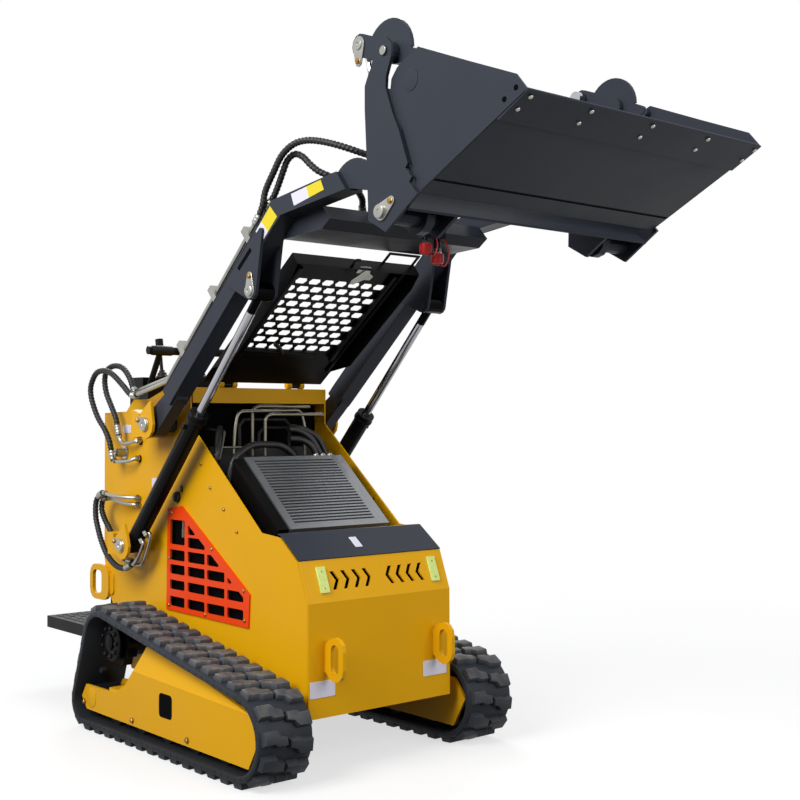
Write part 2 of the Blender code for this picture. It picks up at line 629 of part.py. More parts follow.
def build_bay():
    top, low = Vector(RAD_TOP), Vector(RAD_LOW)
    down = (low - top).normalized()
    back = Vector((-down.y, down.x))
    if back.x < 0:
        back = -back
    outline = [top, low, low + back * RAD_DEPTH, top + back * RAD_DEPTH]
    grooves = []
    count = 22
    length = (low - top).length
    for i in range(count):
        start = top + down * (0.020 + (length - 0.040) * i / count) - back * 0.010
        end = start + down * ((length - 0.040) / count * 0.5)
        slot = [start, end, end + back * 0.022, start + back * 0.022]
        grooves.append(prism([tuple(p) for p in slot], -RAD_HALF + 0.030, RAD_HALF - 0.030))
    solid("radiator", ALUMINIUM, [prism([tuple(p) for p in outline], -RAD_HALF, RAD_HALF)], grooves)
    shroud = [top + back * (RAD_DEPTH + SKIN_GAP), low + back * (RAD_DEPTH + SKIN_GAP),
              low + back * 0.12, top + back * 0.12]
    tank = [top + down * 0.004 + back * 0.004, low - down * 0.004 + back * 0.004,
            low - down * 0.004 + back * 0.10, top + down * 0.004 + back * 0.10]
    solid("fan_shroud", BLACK, [prism([tuple(p) for p in shroud], -RAD_HALF - 0.03, RAD_HALF - 0.01),
                                prism([tuple(p) for p in tank], -RAD_HALF - 0.045, -RAD_HALF - 0.004),
                                box(-INNER_HALF, -RAD_HALF + 0.013, *SHROUD_FOOT),
                                box(RAD_HALF - 0.036, INNER_HALF, *SHROUD_FOOT)])
    half, y0, y1, z0, z1 = ENGINE
    parts = [box(-half, half, y0, y1, z0, z1),
             box(-0.240, 0.240, y0 - 0.070, y0 + 0.100, 0.930, 1.020),
             box(-0.050, 0.100, y0 + 0.020, y0 + 0.100, z1 - 0.010, 0.950),
             box(-half, half, y0 + 0.050, y1 - 0.050, FRONT_LOW[1] + PLATE + SKIN_GAP, z0 + 0.020)]
    # bent pipes over the engine: left X, right X, Y, top Z
    for left, right, y, top_z in ((-0.110, 0.110, 0.262, 1.120), (-0.010, 0.215, 0.285, 1.090)):
        parts.append(bent_rod([(left, y, 1.010), (left, y, top_z - 0.020), (left + 0.020, y, top_z),
                               (right - 0.020, y, top_z), (right, y, top_z - 0.020), (right, y, 1.010)], 0.006))
    solid("engine", IRON, parts)


def build_rear():
    for side, sign in SIDES:
        ear = hull([(*ARM_PIN, 0.052), (0.374, 1.180, 0.006)])
        solid(side + "_arm_ear", YELLOW, [
            prism(ear, sign * EAR_IN, sign * EAR_OUT),
            prism(hull([(0.500, 1.060, 0.006), (0.500, 1.150, 0.006),
                        (0.455, 1.062, 0.004), (0.455, 1.140, 0.004)]),
                  sign * (BODY_HALF + SKIN_GAP), sign * EAR_OUT),
            prism(hull([(0.500, 1.060, 0.006), (*ARM_PIN, 0.040)]), sign * EAR_IN, sign * EAR_OUT),
            cross_rod(ARM_PIN, 0.022, sign * (EAR_IN + 0.002), sign * (EAR_OUT + 0.008)),
        ])
        low = hull([(*LIFT_LOW, 0.052), (0.559, 0.738, 0.006)])
        solid(side + "_cylinder_ear", YELLOW, [
            prism(low, sign * EAR_IN, sign * EAR_OUT),
            prism(hull([(0.672, 0.630, 0.006), (0.672, 0.700, 0.006),
                        (0.640, 0.632, 0.004), (0.640, 0.700, 0.004)]),
                  sign * (BODY_HALF + SKIN_GAP), sign * EAR_OUT),
            prism(hull([(0.668, 0.640, 0.010), (*LIFT_LOW, 0.040)]), sign * EAR_IN, sign * EAR_OUT),
            cross_rod(LIFT_LOW, 0.020, sign * (LIFT_X + LIFT_EYE), sign * (EAR_OUT + 0.008)),
        ])
    solid("operator_platform", BLACK, [
        box(-0.250, 0.250, 0.930, PLATFORM_REAR, 0.274, 0.282),
        box(-0.250, -0.242, 0.930, PLATFORM_REAR, 0.234, 0.280),
        box(0.242, 0.250, 0.930, PLATFORM_REAR, 0.234, 0.280),
        box(-0.250, 0.250, PLATFORM_REAR - 0.008, PLATFORM_REAR, 0.234, 0.280),
        box(-0.250, -0.230, REAR_Y + SKIN_GAP, 0.960, 0.234, 0.640),
        box(0.230, 0.250, REAR_Y + SKIN_GAP, 0.960, 0.234, 0.640),
        box(-0.250, 0.250, REAR_Y + SKIN_GAP, 0.945, 0.586, 0.640),
    ])
    console = [
        prism(((0.760, 1.1510), (0.900, 1.1469), (0.900, 1.250), (0.760, 1.250)), -0.200, 0.200),
        box(-0.200, 0.200, 0.800, 0.880, 1.240, 1.285),
        rod((-0.235, 0.700, 1.385), (0.235, 0.700, 1.385), 0.016, 16),
    ]
    for x in (-0.180, 0.180):
        console.append(rod((x, 0.700, 1.385), (x, 0.790, 1.240), 0.012, 12))
    for x in (-0.090, 0.090):
        console.append(rod((x, 0.840, 1.280), (x, 0.860, 1.400), 0.007, 10))
        console.append(rod((x, 0.858, 1.385), (x, 0.868, 1.440), 0.016, 12))
    solid("control_console", BLACK, console)


def build_undercarriage():
    for side, sign in SIDES:
        build_track(side + "_track", sign)
        profile = [*FRAME_SIDE]
        parts = [prism(profile, sign * (FRAME_OUT - 0.010), sign * FRAME_OUT),
                 prism(profile, sign * (FRAME_IN + SKIN_GAP), sign * (FRAME_IN + 0.010))]
        verts = []
        for drop in (0.0, 0.010):
            for x, line in ((FRAME_OUT, FRAME_CREASE), (CREST_X, FRAME_CREST)):
                verts += [(sign * x, y, z - drop) for y, z in line]
        faces = [(0, 1, 3, 2), (4, 6, 7, 5), (0, 4, 5, 1), (2, 3, 7, 6), (0, 2, 6, 4), (1, 5, 7, 3)]
        parts.append((verts, faces))
        rear_arm = hull([(0.590, 0.118, 0.028), (REAR_WHEEL[0], REAR_WHEEL[1], 0.024)])
        parts.append(prism(rear_arm, sign * (FRAME_IN + SKIN_GAP), sign * (FRAME_IN + 0.010)))
        parts.append(prism(rear_arm, sign * (FRAME_OUT - 0.010), sign * (FRAME_OUT - 0.001)))
        parts.append(box(sign * (FRAME_IN + SKIN_GAP), sign * (FRAME_OUT - 0.004),
                         -0.250, 0.500, 0.160, 0.172))
        for y in ROLLERS:
            centre = (y, IDLER[1] - IDLER[2] + BELT + ROLLER_R + SKIN_GAP)
            parts.append(cross_rod(centre, ROLLER_R / math.cos(math.pi / 12), sign * 0.375, sign * 0.480, 12))
            parts.append(cross_rod(centre, 0.012, sign * (FRAME_IN + 0.004), sign * (FRAME_OUT - 0.004), 8))
        for y, z, radius in (IDLER, REAR_WHEEL):
            parts.append(cross_rod((y, z), radius - BELT - 0.0025, sign * 0.385, sign * 0.475, 24))
            parts.append(cross_rod((y, z), 0.016, sign * (FRAME_IN + 0.004), sign * (FRAME_OUT - 0.004), 8))
        solid(side + "_track_frame", YELLOW, parts)
        y, z, radius = SPROCKET
        wheel = [cross_rod((y, z), 0.060, sign * (BODY_HALF + SKIN_GAP), sign * 0.410, 16),
                 cross_rod((y, z), 0.072, sign * 0.405, sign * 0.425, 16),
                 cross_rod((y, z), 0.048, sign * 0.420, sign * 0.470, 12)]
        teeth = []
        for i in range(22):
            angle = 2.0 * math.pi * i / 22
            tip = radius - BELT - 0.002 if i % 2 else radius - BELT - 0.018
            teeth.append((y + tip * math.cos(angle), z + tip * math.sin(angle)))
        wheel.append(prism(teeth, sign * 0.412, sign * 0.448))
        solid(side + "_sprocket", BLACK, wheel)


def arm_parts(sign):
    outline = [*ARM_TOP, *ARM_LOW]
    parts = [prism(outline, sign * ARM_IN, sign * ARM_OUT)]
    tongue = hull([(*ARM_PIN, 0.045), (0.262, 1.205, 0.030)])
    parts.append(prism(tongue, sign * (ARM_IN + 0.008), sign * 0.388))
    parts.append(cross_rod(ARM_PIN, 0.030, sign * (BODY_HALF + SKIN_GAP), sign * (EAR_IN - SKIN_GAP)))
    # front ear: a round top above a straight lower edge, and a tongue that reaches the bucket pin
    y, z, radius = EAR_ROUND
    turns = [math.radians(35.0 + 9.0 * i) for i in range(16)]
    ear = [(y + radius * math.cos(a), z + radius * math.sin(a)) for a in turns] + [*EAR_LOW]
    for outline in (ear, EAR_TONGUE, hull([(-0.935, 1.730, 0.015), (*BUCKET_PIN, 0.050)])):
        parts.append(prism(outline, sign * 0.350, sign * 0.380))
    parts.append(cross_rod(BUCKET_PIN, 0.030, sign * (INNER_LUG + 0.006 + SKIN_GAP),
                           sign * (OUTER_IN - SKIN_GAP)))
    # lift cylinder brackets, outside and inside the arm
    bracket = hull([(*LIFT_TOP, 0.030), (-0.262, 1.640, 0.010),
                    (-0.300, 1.712, 0.010), (-0.120, 1.562, 0.010)])
    parts.append(prism(bracket, sign * (ARM_OUT - 0.001), sign * 0.408))
    parts.append(prism(bracket, sign * 0.322, sign * (ARM_IN + 0.001)))
    parts.append(cross_rod(LIFT_TOP, 0.018, sign * (LIFT_X + LIFT_EYE), sign * 0.416))
    parts.append(cross_rod(LIFT_TOP, 0.018, sign * 0.318, sign * (LIFT_X - LIFT_EYE)))
    return parts


def build_arms():
    bracket = hull([(*TILT_BACK, 0.034), (-0.400, 1.745, 0.020), (-0.500, 1.755, 0.020)])
    parts = [prism(CROSS_TUBE, -ARM_IN - 0.002, ARM_IN + 0.002),
             prism(bracket, -TILT_EYE - 0.012, -TILT_EYE),
             prism(bracket, TILT_EYE, TILT_EYE + 0.012),
             cross_rod(TILT_BACK, 0.016, -0.050, -0.036),
             cross_rod(TILT_BACK, 0.016, 0.036, 0.050)]
    for side, sign in SIDES:
        parts += arm_parts(sign)
    solid("lift_arms", SLATE, parts)
    solid("auxiliary_coupler", SLATE, [
        box(0.020, 0.110, -0.596, -0.5605, 1.700, 1.745),
        rod((0.040, -0.578, 1.703), (0.040, -0.578, 1.684), 0.012),
        rod((0.090, -0.578, 1.703), (0.090, -0.578, 1.656), 0.012),
    ])
    solid("coupler_caps", RED, [
        rod((0.040, -0.578, 1.6834), (0.040, -0.578, 1.645), 0.021),
        rod((0.090, -0.578, 1.6554), (0.090, -0.578, 1.615), 0.021),
        box(0.045, 0.085, -0.584, -0.572, 1.646, 1.6545),
    ], (), True)


def build_bucket():
    blade = strip(MOLD, -MOLD_T)
    parts = [prism(blade, -OUTER_IN - 0.002, OUTER_IN + 0.002)]
    for sign in (-1.0, 1.0):
        x0, x1 = sign * OUTER_IN, sign * OUTER_OUT
        parts.append(prism(OUTER_PLATE, x0, x1))
        parts.append(cross_rod(BUCKET_PIN, 0.018, x1 - sign * 0.002, x1 + sign * 0.012))
        parts.append(cross_rod(CLAM_PIN, 0.012, x1 - sign * 0.002, x1 + sign * 0.004))
    for x in (-INNER_LUG, INNER_LUG):
        parts.append(prism(INNER_PLATE, x - 0.006, x + 0.006))
    for x in (-TILT_EYE - 0.006, TILT_EYE + 0.006):
        lug = hull([(*TILT_FRONT, 0.026), (-0.990, 1.860, 0.010), (-1.010, 1.775, 0.010)])
        parts.append(prism(lug, x - 0.006, x + 0.006))
    for x in (-0.410, 0.410):
        lug = hull([(*CLAM_LOW, 0.024), (-1.000, 1.830, 0.008), (-1.020, 1.775, 0.008)])
        parts.append(prism(lug, x - 0.004, x + 0.004))
        side = math.copysign(1.0, x)
        parts.append(cross_rod(CLAM_LOW, 0.012, x - 0.008 * side, side * (CLAM_X - CLAM_EYE)))
    parts.append(box(-0.405, 0.405, -0.974, -0.938, 1.984, 2.010))
    solid("bucket_shell", SLATE, parts)

    parts = []
    floor = strip([LIP, HEEL], FLOOR_T)
    parts.append(prism(floor, -CLAM_OUT + 0.001, CLAM_OUT - 0.001))
    for sign in (-1.0, 1.0):
        parts.append(prism(CLAM_SIDE, sign * (CLAM_OUT - PLATE), sign * CLAM_OUT))
        arc = [(-0.993 + 0.094 * math.cos(math.pi * i / 16), 2.108 + 0.094 * math.sin(math.pi * i / 16))
               for i in range(17)]
        parts.append(prism(arc, sign * 0.458, sign * 0.468))
        parts.append(prism(hull([(*CRANK_PIN, 0.032), (*CLAM_PIN, 0.030)]), sign * 0.458, sign * 0.468))
        parts.append(prism(hull([(*CLAM_PIN, 0.030), (-1.110, 2.080, 0.014)]), sign * 0.458, sign * 0.468))
        parts.append(prism(hull([(-1.095, 2.062, 0.012), (-1.120, 2.072, 0.012)]),
                           sign * 0.460, sign * (CLAM_OUT - 0.002)))
        parts.append(cross_rod(CLAM_PIN, 0.028, sign * 0.4415, sign * (OUTER_IN - SKIN_GAP)))
        parts.append(cross_rod(CRANK_PIN, 0.014, sign * (CLAM_X + CLAM_EYE), sign * 0.474))
    solid("clam_shell", SLATE, parts)
    along = (Vector(HEEL) - Vector(LIP)).normalized()
    out = Vector((along.y, -along.x))
    if out.y > 0:
        out = -out
    edge0 = Vector(LIP) + out * SKIN_GAP - along * 0.004
    edge = [edge0, edge0 + along * EDGE_LEN, edge0 + along * EDGE_LEN + out * EDGE_T,
            edge0 + out * EDGE_T * 0.4 + along * 0.004]
    solid("cutting_edge", SLATE, [prism([tuple(p) for p in edge], -CLAM_OUT, CLAM_OUT)])


def build_cylinders():
    for side, sign in SIDES:
        cylinder_pair((side + "_lift_barrel", side + "_lift_rod"), (BLACK, CHROME),
                      LIFT_LOW, LIFT_TOP, sign * LIFT_X, LIFT_CYL, LIFT_EYE - SKIN_GAP)
        cylinder_pair((side + "_clam_barrel", side + "_clam_rod"), (BLACK, CHROME),
                      CLAM_LOW, CRANK_PIN, sign * CLAM_X, CLAM_CYL, CLAM_EYE - SKIN_GAP)
    cylinder_pair(("tilt_barrel", "tilt_rod"), (BLACK, CHROME), TILT_BACK, TILT_FRONT, 0.0, TILT_CYL,
                  TILT_EYE - SKIN_GAP)


def build_hood():
    hinge, along = Vector(HOOD_PIN), Vector(HOOD_DIR).normalized()
    down = Vector((-along.y, along.x))
    if down.y > 0:
        down = -down
    end = hinge + along * HOOD_LEN

    def at(distance, depth):
        return tuple(hinge + along * distance + down * depth)

    skin = [at(0.016, 0.0), at(HOOD_LEN, 0.0), at(HOOD_LEN, 0.003), at(0.016, 0.003)]
    parts = [prism(skin, -HOOD_HALF, HOOD_HALF)]
    leaf = [at(0.0, 0.0006), at(0.030, 0.0006), at(0.030, 0.0045), at(0.0, 0.0045)]
    for x in (-HINGE_X, HINGE_X):
        parts.append(cross_rod(HOOD_PIN, 0.0105, x - HINGE_HALF, x + HINGE_HALF, 12))
        parts.append(prism(leaf, x - HINGE_HALF, x + HINGE_HALF))
    wall = [at(0.090, 0.001), at(HOOD_LEN, 0.001), at(HOOD_LEN, HOOD_LIP),
            at(HOOD_LEN - 0.060, HOOD_WALL), at(0.200, HOOD_WALL)]
    for sign in (-1.0, 1.0):
        parts.append(prism(wall, sign * (HOOD_HALF - 0.003), sign * HOOD_HALF))
    front = [at(HOOD_LEN - 0.003, 0.001), at(HOOD_LEN, 0.001),
             at(HOOD_LEN, HOOD_LIP), at(HOOD_LEN - 0.003, HOOD_LIP)]
    parts.append(prism(front, -HOOD_HALF, HOOD_HALF))
    cuts = []
    row_step = (MESH_ALONG[1] - MESH_ALONG[0]) / MESH_ROWS
    col_step = 2.0 * MESH_HALF / (MESH_COLS + 0.5)
    for row in range(MESH_ROWS):
        distance = MESH_ALONG[0] + row_step * (row + 0.5)
        for col in range(MESH_COLS):
            x = -MESH_HALF + col_step * (col + 0.5 + 0.5 * (row % 2))
            cuts.append(oblong(x, distance, col_step * 0.84, row_step * 0.74, at))
    grip = ((0.120, -0.002), (0.120, 0.045), (0.250, 0.045), (0.250, -0.002))
    parts.append(bent_rod([(x, *at(HOOD_LEN + reach, 0.002)) for x, reach in grip], 0.005))
    solid("hood", BLACK, parts, cuts)
    solid("hood_latch", ZINC, [
        prism([at(HOOD_LEN - 0.035, 0.0033), at(HOOD_LEN - 0.015, 0.0033), at(HOOD_LEN - 0.015, 0.030),
               at(HOOD_LEN - 0.035, 0.030)], 0.010, 0.060),
        prism([at(HOOD_LEN - 0.050, 0.015), at(HOOD_LEN - 0.006, 0.015), at(HOOD_LEN - 0.006, 0.022),
               at(HOOD_LEN - 0.050, 0.022)], 0.025, 0.040)])


def oblong(x, distance, width, height, at):
    """A slot with blunt ends through the hood's skin."""
    outline = ((0.5, 0.0), (0.34, 0.5), (-0.34, 0.5), (-0.5, 0.0), (-0.34, -0.5), (0.34, -0.5))
    verts = []
    for depth in (-0.01, 0.012):
        for dx, dy in outline:
            verts.append((x + dx * width, *at(distance + dy * height, depth)))
    count = len(outline)
    faces = [tuple(range(count)), tuple(range(2 * count - 1, count - 1, -1))]
    for i in range(count):
        j = (i + 1) % count
        faces.append((j, i, i + count, j + count))
    return verts, faces


def build_pipes():
    """Two steel pipes clamped over the right arm."""
    top, end = Vector(ARM_TOP[0]), Vector(ARM_TOP[1])
    along = (end - top).normalized()
    out = Vector((along.y, -along.x))
    parts = [bent_rod(line, PIPE_R, 10) for line in PIPES]
    for share in PIPE_CLAMPS:
        foot = top.lerp(end, share) + out * SKIN_GAP
        corners = [foot - along * 0.012, foot + along * 0.012,
                   foot + along * 0.012 + out * CLAMP_H, foot - along * 0.012 + out * CLAMP_H]
        parts.append(prism([tuple(p) for p in corners], -LIFT_X - 0.027, -LIFT_X + 0.027))
    solid("arm_pipes", ZINC, parts)


def build_hoses():
    for name, points in HOSES:
        tube(name, HOSE, points, HOSE_R)
    for side, sign in SIDES:
        for name, points in LOWER_HOSES:
            tube(side + name, HOSE, [(sign * x, y, z) for x, y, z in points], HOSE_R)
    y, z = SERVICE_PORT
    solid("service_port", ZINC, [
        rod((-BODY_HALF - SKIN_GAP, y, z), (-BODY_HALF - 0.006, y, z), 0.025, 16),
        rod((-BODY_HALF - 0.005, y, z), (-BODY_HALF - 0.038, y, z), 0.016, 16),
    ], (), True)


build_body()
build_bay()
build_rear()
build_undercarriage()
build_arms()
build_bucket()
build_cylinders()
build_hood()
build_pipes()
build_hoses()
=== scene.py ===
"""Looks of a stand-on tracked loader with raised arms, an open hood and a hinged bucket."""
import json
import math

import bpy
import numpy as np
from bpy.props import FloatProperty, FloatVectorProperty, IntProperty, PointerProperty
from bpy.types import Operator, Panel, PropertyGroup
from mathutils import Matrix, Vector


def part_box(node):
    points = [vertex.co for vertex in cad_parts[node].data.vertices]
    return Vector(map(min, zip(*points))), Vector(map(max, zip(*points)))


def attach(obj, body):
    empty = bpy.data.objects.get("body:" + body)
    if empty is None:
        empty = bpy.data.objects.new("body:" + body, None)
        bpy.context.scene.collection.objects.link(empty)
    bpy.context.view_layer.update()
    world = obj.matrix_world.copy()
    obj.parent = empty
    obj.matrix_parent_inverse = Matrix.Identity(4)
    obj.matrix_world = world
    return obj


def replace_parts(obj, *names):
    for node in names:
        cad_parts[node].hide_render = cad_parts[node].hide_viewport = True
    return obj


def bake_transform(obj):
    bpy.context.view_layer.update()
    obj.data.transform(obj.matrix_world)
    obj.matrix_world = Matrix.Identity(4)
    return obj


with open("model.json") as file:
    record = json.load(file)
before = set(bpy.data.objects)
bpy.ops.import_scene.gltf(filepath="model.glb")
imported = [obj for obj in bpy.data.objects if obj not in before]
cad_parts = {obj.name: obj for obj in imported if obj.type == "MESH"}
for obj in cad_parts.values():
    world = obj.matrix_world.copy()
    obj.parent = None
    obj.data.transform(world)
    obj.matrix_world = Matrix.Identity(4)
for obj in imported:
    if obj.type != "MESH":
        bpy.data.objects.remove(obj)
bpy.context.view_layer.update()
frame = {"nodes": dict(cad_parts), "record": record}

bl_info = {
    "name": "Stand-on tracked loader",
    "version": (1, 0, 0),
    "blender": (4, 5, 0),
    "location": "View3D > Sidebar > Loader",
    "description": "Finishes and fine pieces of a small tracked loader",
    "category": "Object",
}

SIDES = (("right", -1.0), ("left", 1.0))
X_AXIS, Y_AXIS, Z_AXIS = np.eye(3)
TURN = 2.0 * math.pi
# gap that keeps a thin piece off the face below it
HAIR = 0.0003

# sizes in metres; a pair is Y and Z in the machine's side view, a face is its distance from the middle plane
BODY_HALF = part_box("front_panel")[1][0]
TRACK_IN, TRACK_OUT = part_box("left_track")[0][0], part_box("left_track")[1][0]
FRAME_FACE = TRACK_OUT - 0.027 + HAIR
ARM_IN, ARM_OUT = BODY_HALF + 0.032, BODY_HALF + 0.098
EAR_OUT = ARM_OUT + 0.015
LIFT_X = 0.5 * (ARM_IN + ARM_OUT)
LIFT_BRACKET = 0.408
LIFT_BARREL = 0.657
OUTER_PLATE, CRANK_PLATE, CLAM_SIDE = 0.500, 0.468, 0.484
ARM_PIN, BUCKET_PIN = (0.405, 1.104), (-1.003, 1.675)
LIFT_LOW, LIFT_TOP = (0.576, 0.662), (-0.246, 1.528)
CLAM_PIN, CRANK_PIN = (-1.012, 2.105), (-0.868, 2.158)
CREASE, FACE_TOP = np.array((-0.409, 0.545)), np.array((-0.360, 0.674))
HOOD_PIN, HOOD_DIR = (0.283, 1.247), (-0.8017, 0.5977)
RAD_TOP, RAD_LOW = (0.077, 0.991), (-0.195, 0.7605)
HEEL, LIP = (-1.132, 1.708), (-1.519, 1.904)

# levels of a flat piece: inset and height
CARD = ((0.0, 0.0), (0.0006, 0.0008))
# flat pieces: width, height, corner radius, points in a corner, levels
FLAT = {
    "tooth": (0.030, 0.024, 0.006, 3, ((0.0, -0.002), (0.001, 0.006), (0.005, 0.014))),
    "slit": (0.012, 0.0022, 0.0010, 3, ((0.0, 0.0), (0.0005, 0.0006))),
    "reflector": (0.036, 0.086, 0.003, 4, ((0.0, 0.0), (0.0, 0.0045), (0.0015, 0.006))),
    "cover_label": (0.030, 0.050, 0.002, 4, CARD),
    "front_lining": (0.440, 0.080, 0.004, 4, CARD),
    "backing": (2.0 * (BODY_HALF - 0.010), 0.340, 0.002, 4, CARD),
    "clam_seam": (0.960, 0.0070, 0.0010, 4, ((0.0, 0.0), (0.0, 0.0006))),
    "tread_stud": (0.026, 0.006, 0.0028, 3, ((0.0, 0.0), (0.0012, 0.0016))),
}
# round pieces: sides, then radius and height of each ring from the foot up
ROUND = {
    "hub": (32, (0.070, 0.0), (0.070, 0.006), (0.060, 0.010), (0.030, 0.010), (0.030, 0.016), (0.022, 0.020)),
    "axle_disc": (32, (0.034, 0.0), (0.034, 0.0012), (0.032, 0.0018)),
    "screw": (12, (0.0036, 0.0), (0.0030, 0.0008)),
    "plug": (24, (0.020, 0.0), (0.020, 0.006), (0.016, 0.012), (0.006, 0.014)),
    "pipe_hole": (20, (0.0145, 0.0), (0.0140, 0.0008)),
    "vent_rod": (12, (0.0062, 0.0), (0.0062, 0.030), (0.0048, 0.032), (0.0048, 0.058), (0.0062, 0.060),
                 (0.0062, 0.084)),
    "radiator_fitting": (6, (0.013, 0.0), (0.013, 0.010), (0.0095, 0.011), (0.0095, 0.024), (0.007, 0.026)),
    "port_boss": (6, (0.013, -0.004), (0.013, 0.008), (0.011, 0.010), (0.011, 0.018)),
    "gland_port": (6, (0.010, 0.0), (0.010, 0.012), (0.008, 0.014)),
    "gland_ring": (32, (0.0351, -0.006), (0.0363, -0.003), (0.0363, 0.003), (0.0351, 0.006)),
    "clam_hole": (16, (0.0075, 0.0), (0.0070, 0.0007)),
    "clam_disc": (32, (0.030, 0.0), (0.0298, 0.0010), (0.0280, 0.0014)),
    "clam_pin": (24, (0.0125, 0.0), (0.0125, 0.0020), (0.0110, 0.0032)),
    "dust_cap": (28, (0.0190, 0.0003), (0.0210, 0.003), (0.0212, 0.024), (0.0185, 0.033), (0.0080, 0.0365),
                 (0.0070, 0.0384)),
    "neck": (6, (0.0128, -0.0160), (0.0128, -0.0060), (0.0145, -0.0050), (0.0145, -0.0004)),
    "grip": (20, (0.0175, 0.0), (0.0190, 0.006), (0.0190, 0.086), (0.0165, 0.092)),
    "boot": (20, *((0.026 - 0.0035 * k + 0.003 * (k % 2), 0.006 * k) for k in range(6))),
}


def paint(name, description, default):
    """A colour that a user sets, in screen values."""
    return FloatVectorProperty(name=name, description=description, subtype="COLOR_GAMMA", size=3,
                               min=0, max=1, default=default)


def length(name, description, low, high, default):
    """A length that a user sets, in metres."""
    return FloatProperty(name=name, description=description, subtype="DISTANCE", unit="LENGTH",
                         min=low, max=high, default=default)


class LoaderLooks(PropertyGroup):
    """Sizes and colours that a user would change."""

    yellow: paint("Body paint", "Colour of the body panels", (0.89, 0.655, 0.045))
    slate: paint("Arm paint", "Colour of the arms and the bucket", (0.205, 0.219, 0.253))
    black: paint("Black paint", "Colour of the hood and the barrels", (0.046, 0.046, 0.050))
    orange: paint("Guard paint", "Colour of the side vent guards", (0.93, 0.27, 0.06))
    rubber: paint("Belt rubber", "Colour of the track belts", (0.205, 0.220, 0.245))
    dust: paint("Dust", "Colour of the dust on the belts", (0.560, 0.530, 0.500))
    lug_height: length("Lug height", "Height of a belt lug", 0.005, 0.0198, 0.0195)
    lug_pitch: length("Lug pitch", "Distance between two lugs of one row", 0.06, 0.12, 0.076)
    hose_radius: length("Hose radius", "Outer radius of the hydraulic hoses", 0.006, 0.012, 0.0110)
    bead: length("Weld bead", "Radius of the weld beads", 0.001, 0.004, 0.0022)
    fins: IntProperty(name="Radiator bars", description="Bars across the radiator's face",
                      min=10, max=60, default=25)


# surfaces

def unit(vector):
    """A vector, or each row of an array, at length one."""
    return vector / np.linalg.norm(vector, axis=-1, keepdims=True)


def wall(rows, columns, round_rows=False):
    """Quads between neighbouring points of a grid whose rows are closed rings."""
    r, c = np.meshgrid(np.arange(rows if round_rows else rows - 1), np.arange(columns), indexing="ij")
    r, c = r.ravel(), c.ravel()
    r2, c2 = (r + 1) % rows, (c + 1) % columns
    return np.stack([r * columns + c, r * columns + c2, r2 * columns + c2, r2 * columns + c], axis=1)


def capped(rows, columns):
    """The walls of a stack of rings with a flat cap at each end."""
    ring = np.arange(columns)
    return [wall(rows, columns), ring[None, ::-1], ring[None, :] + (rows - 1) * columns]


def joined(parts):
    """Several parts as one: points end to end, faces shifted by the points before them."""
    verts, faces, base = [], [], 0
    for points, blocks in parts:
        verts.append(points)
        faces += [block + base for block in blocks]
        base += len(points)
    return np.concatenate(verts), faces


def circle(radius, sides):
    """Points (r cos a, r sin a) of a circle, anticlockwise."""
    a = TURN * np.arange(sides) / sides
    return radius * np.column_stack([np.cos(a), np.sin(a)])


def turned(profile, sides):
    """Surface of revolution about Z: (r cos a, r sin a, h) for each (r, h) of the profile, bottom first."""
    rings = [np.column_stack([circle(radius, sides), np.full(sides, height)]) for radius, height in profile]
    return np.concatenate(rings), capped(len(profile), sides)


def plate(outline, levels):
    """Flat piece: the outline, drawn in by each level's inset along mitred normals, at its height."""
    outline = np.asarray(outline, float)
    edge = unit(np.roll(outline, -1, axis=0) - outline)
    normal = np.stack([-edge[:, 1], edge[:, 0]], axis=1)
    before = np.roll(normal, 1, axis=0)
    mitre = (before + normal) / (1.0 + np.sum(before * normal, axis=1, keepdims=True))
    rings = [np.column_stack([outline + mitre * inset, np.full(len(outline), height)])
             for inset, height in levels]
    return np.concatenate(rings), capped(len(levels), len(outline))


def rounded(width, height, radius, corner=4):
    """Rectangle with round corners: quarter circles about the four inner corners, anticlockwise."""
    a = 0.25 * TURN * np.arange(corner) / (corner - 1)
    turns = np.concatenate([a + 0.25 * TURN * k for k in range(4)])
    signs = np.repeat(((1, 1), (-1, 1), (-1, -1), (1, -1)), corner, axis=0)
    centre = signs * (width / 2 - radius, height / 2 - radius)
    return centre + radius * np.column_stack([np.cos(turns), np.sin(turns)])


def lathe(name):
    """A round piece of the table: its profile turned about Z."""
    sides, *profile = ROUND[name]
    return turned(profile, sides)


def pressed(name):
    """A flat piece of the table: a round-cornered rectangle raised through its levels."""
    width, height, radius, corner, levels = FLAT[name]
    return plate(rounded(width, height, radius, corner), levels)


def smooth_line(points, spacing):
    """Catmull-Rom curve through the points: a cubic in t on each leg, its slopes from the neighbours."""
    p = np.asarray(points, float)
    p = np.concatenate([2 * p[:1] - p[1:2], p, 2 * p[-1:] - p[-2:-1]])
    legs = []
    for a, b, c, d in zip(p, p[1:], p[2:], p[3:]):
        count = max(2, int(np.linalg.norm(c - b) / spacing) + 1)
        t = np.linspace(0.0, 1.0, count, endpoint=False)[:, None]
        legs.append(0.5 * (2 * b + (c - a) * t + (2 * a - 5 * b + 4 * c - d) * t ** 2
                           + (3 * b - a - 3 * c + d) * t ** 3))
    legs.append(p[-2:-1])
    return np.concatenate(legs)


def along(path):
    """Distance from the start of a path to each of its points."""
    return np.concatenate([[0.0], np.cumsum(np.linalg.norm(np.diff(path, axis=0), axis=1))])


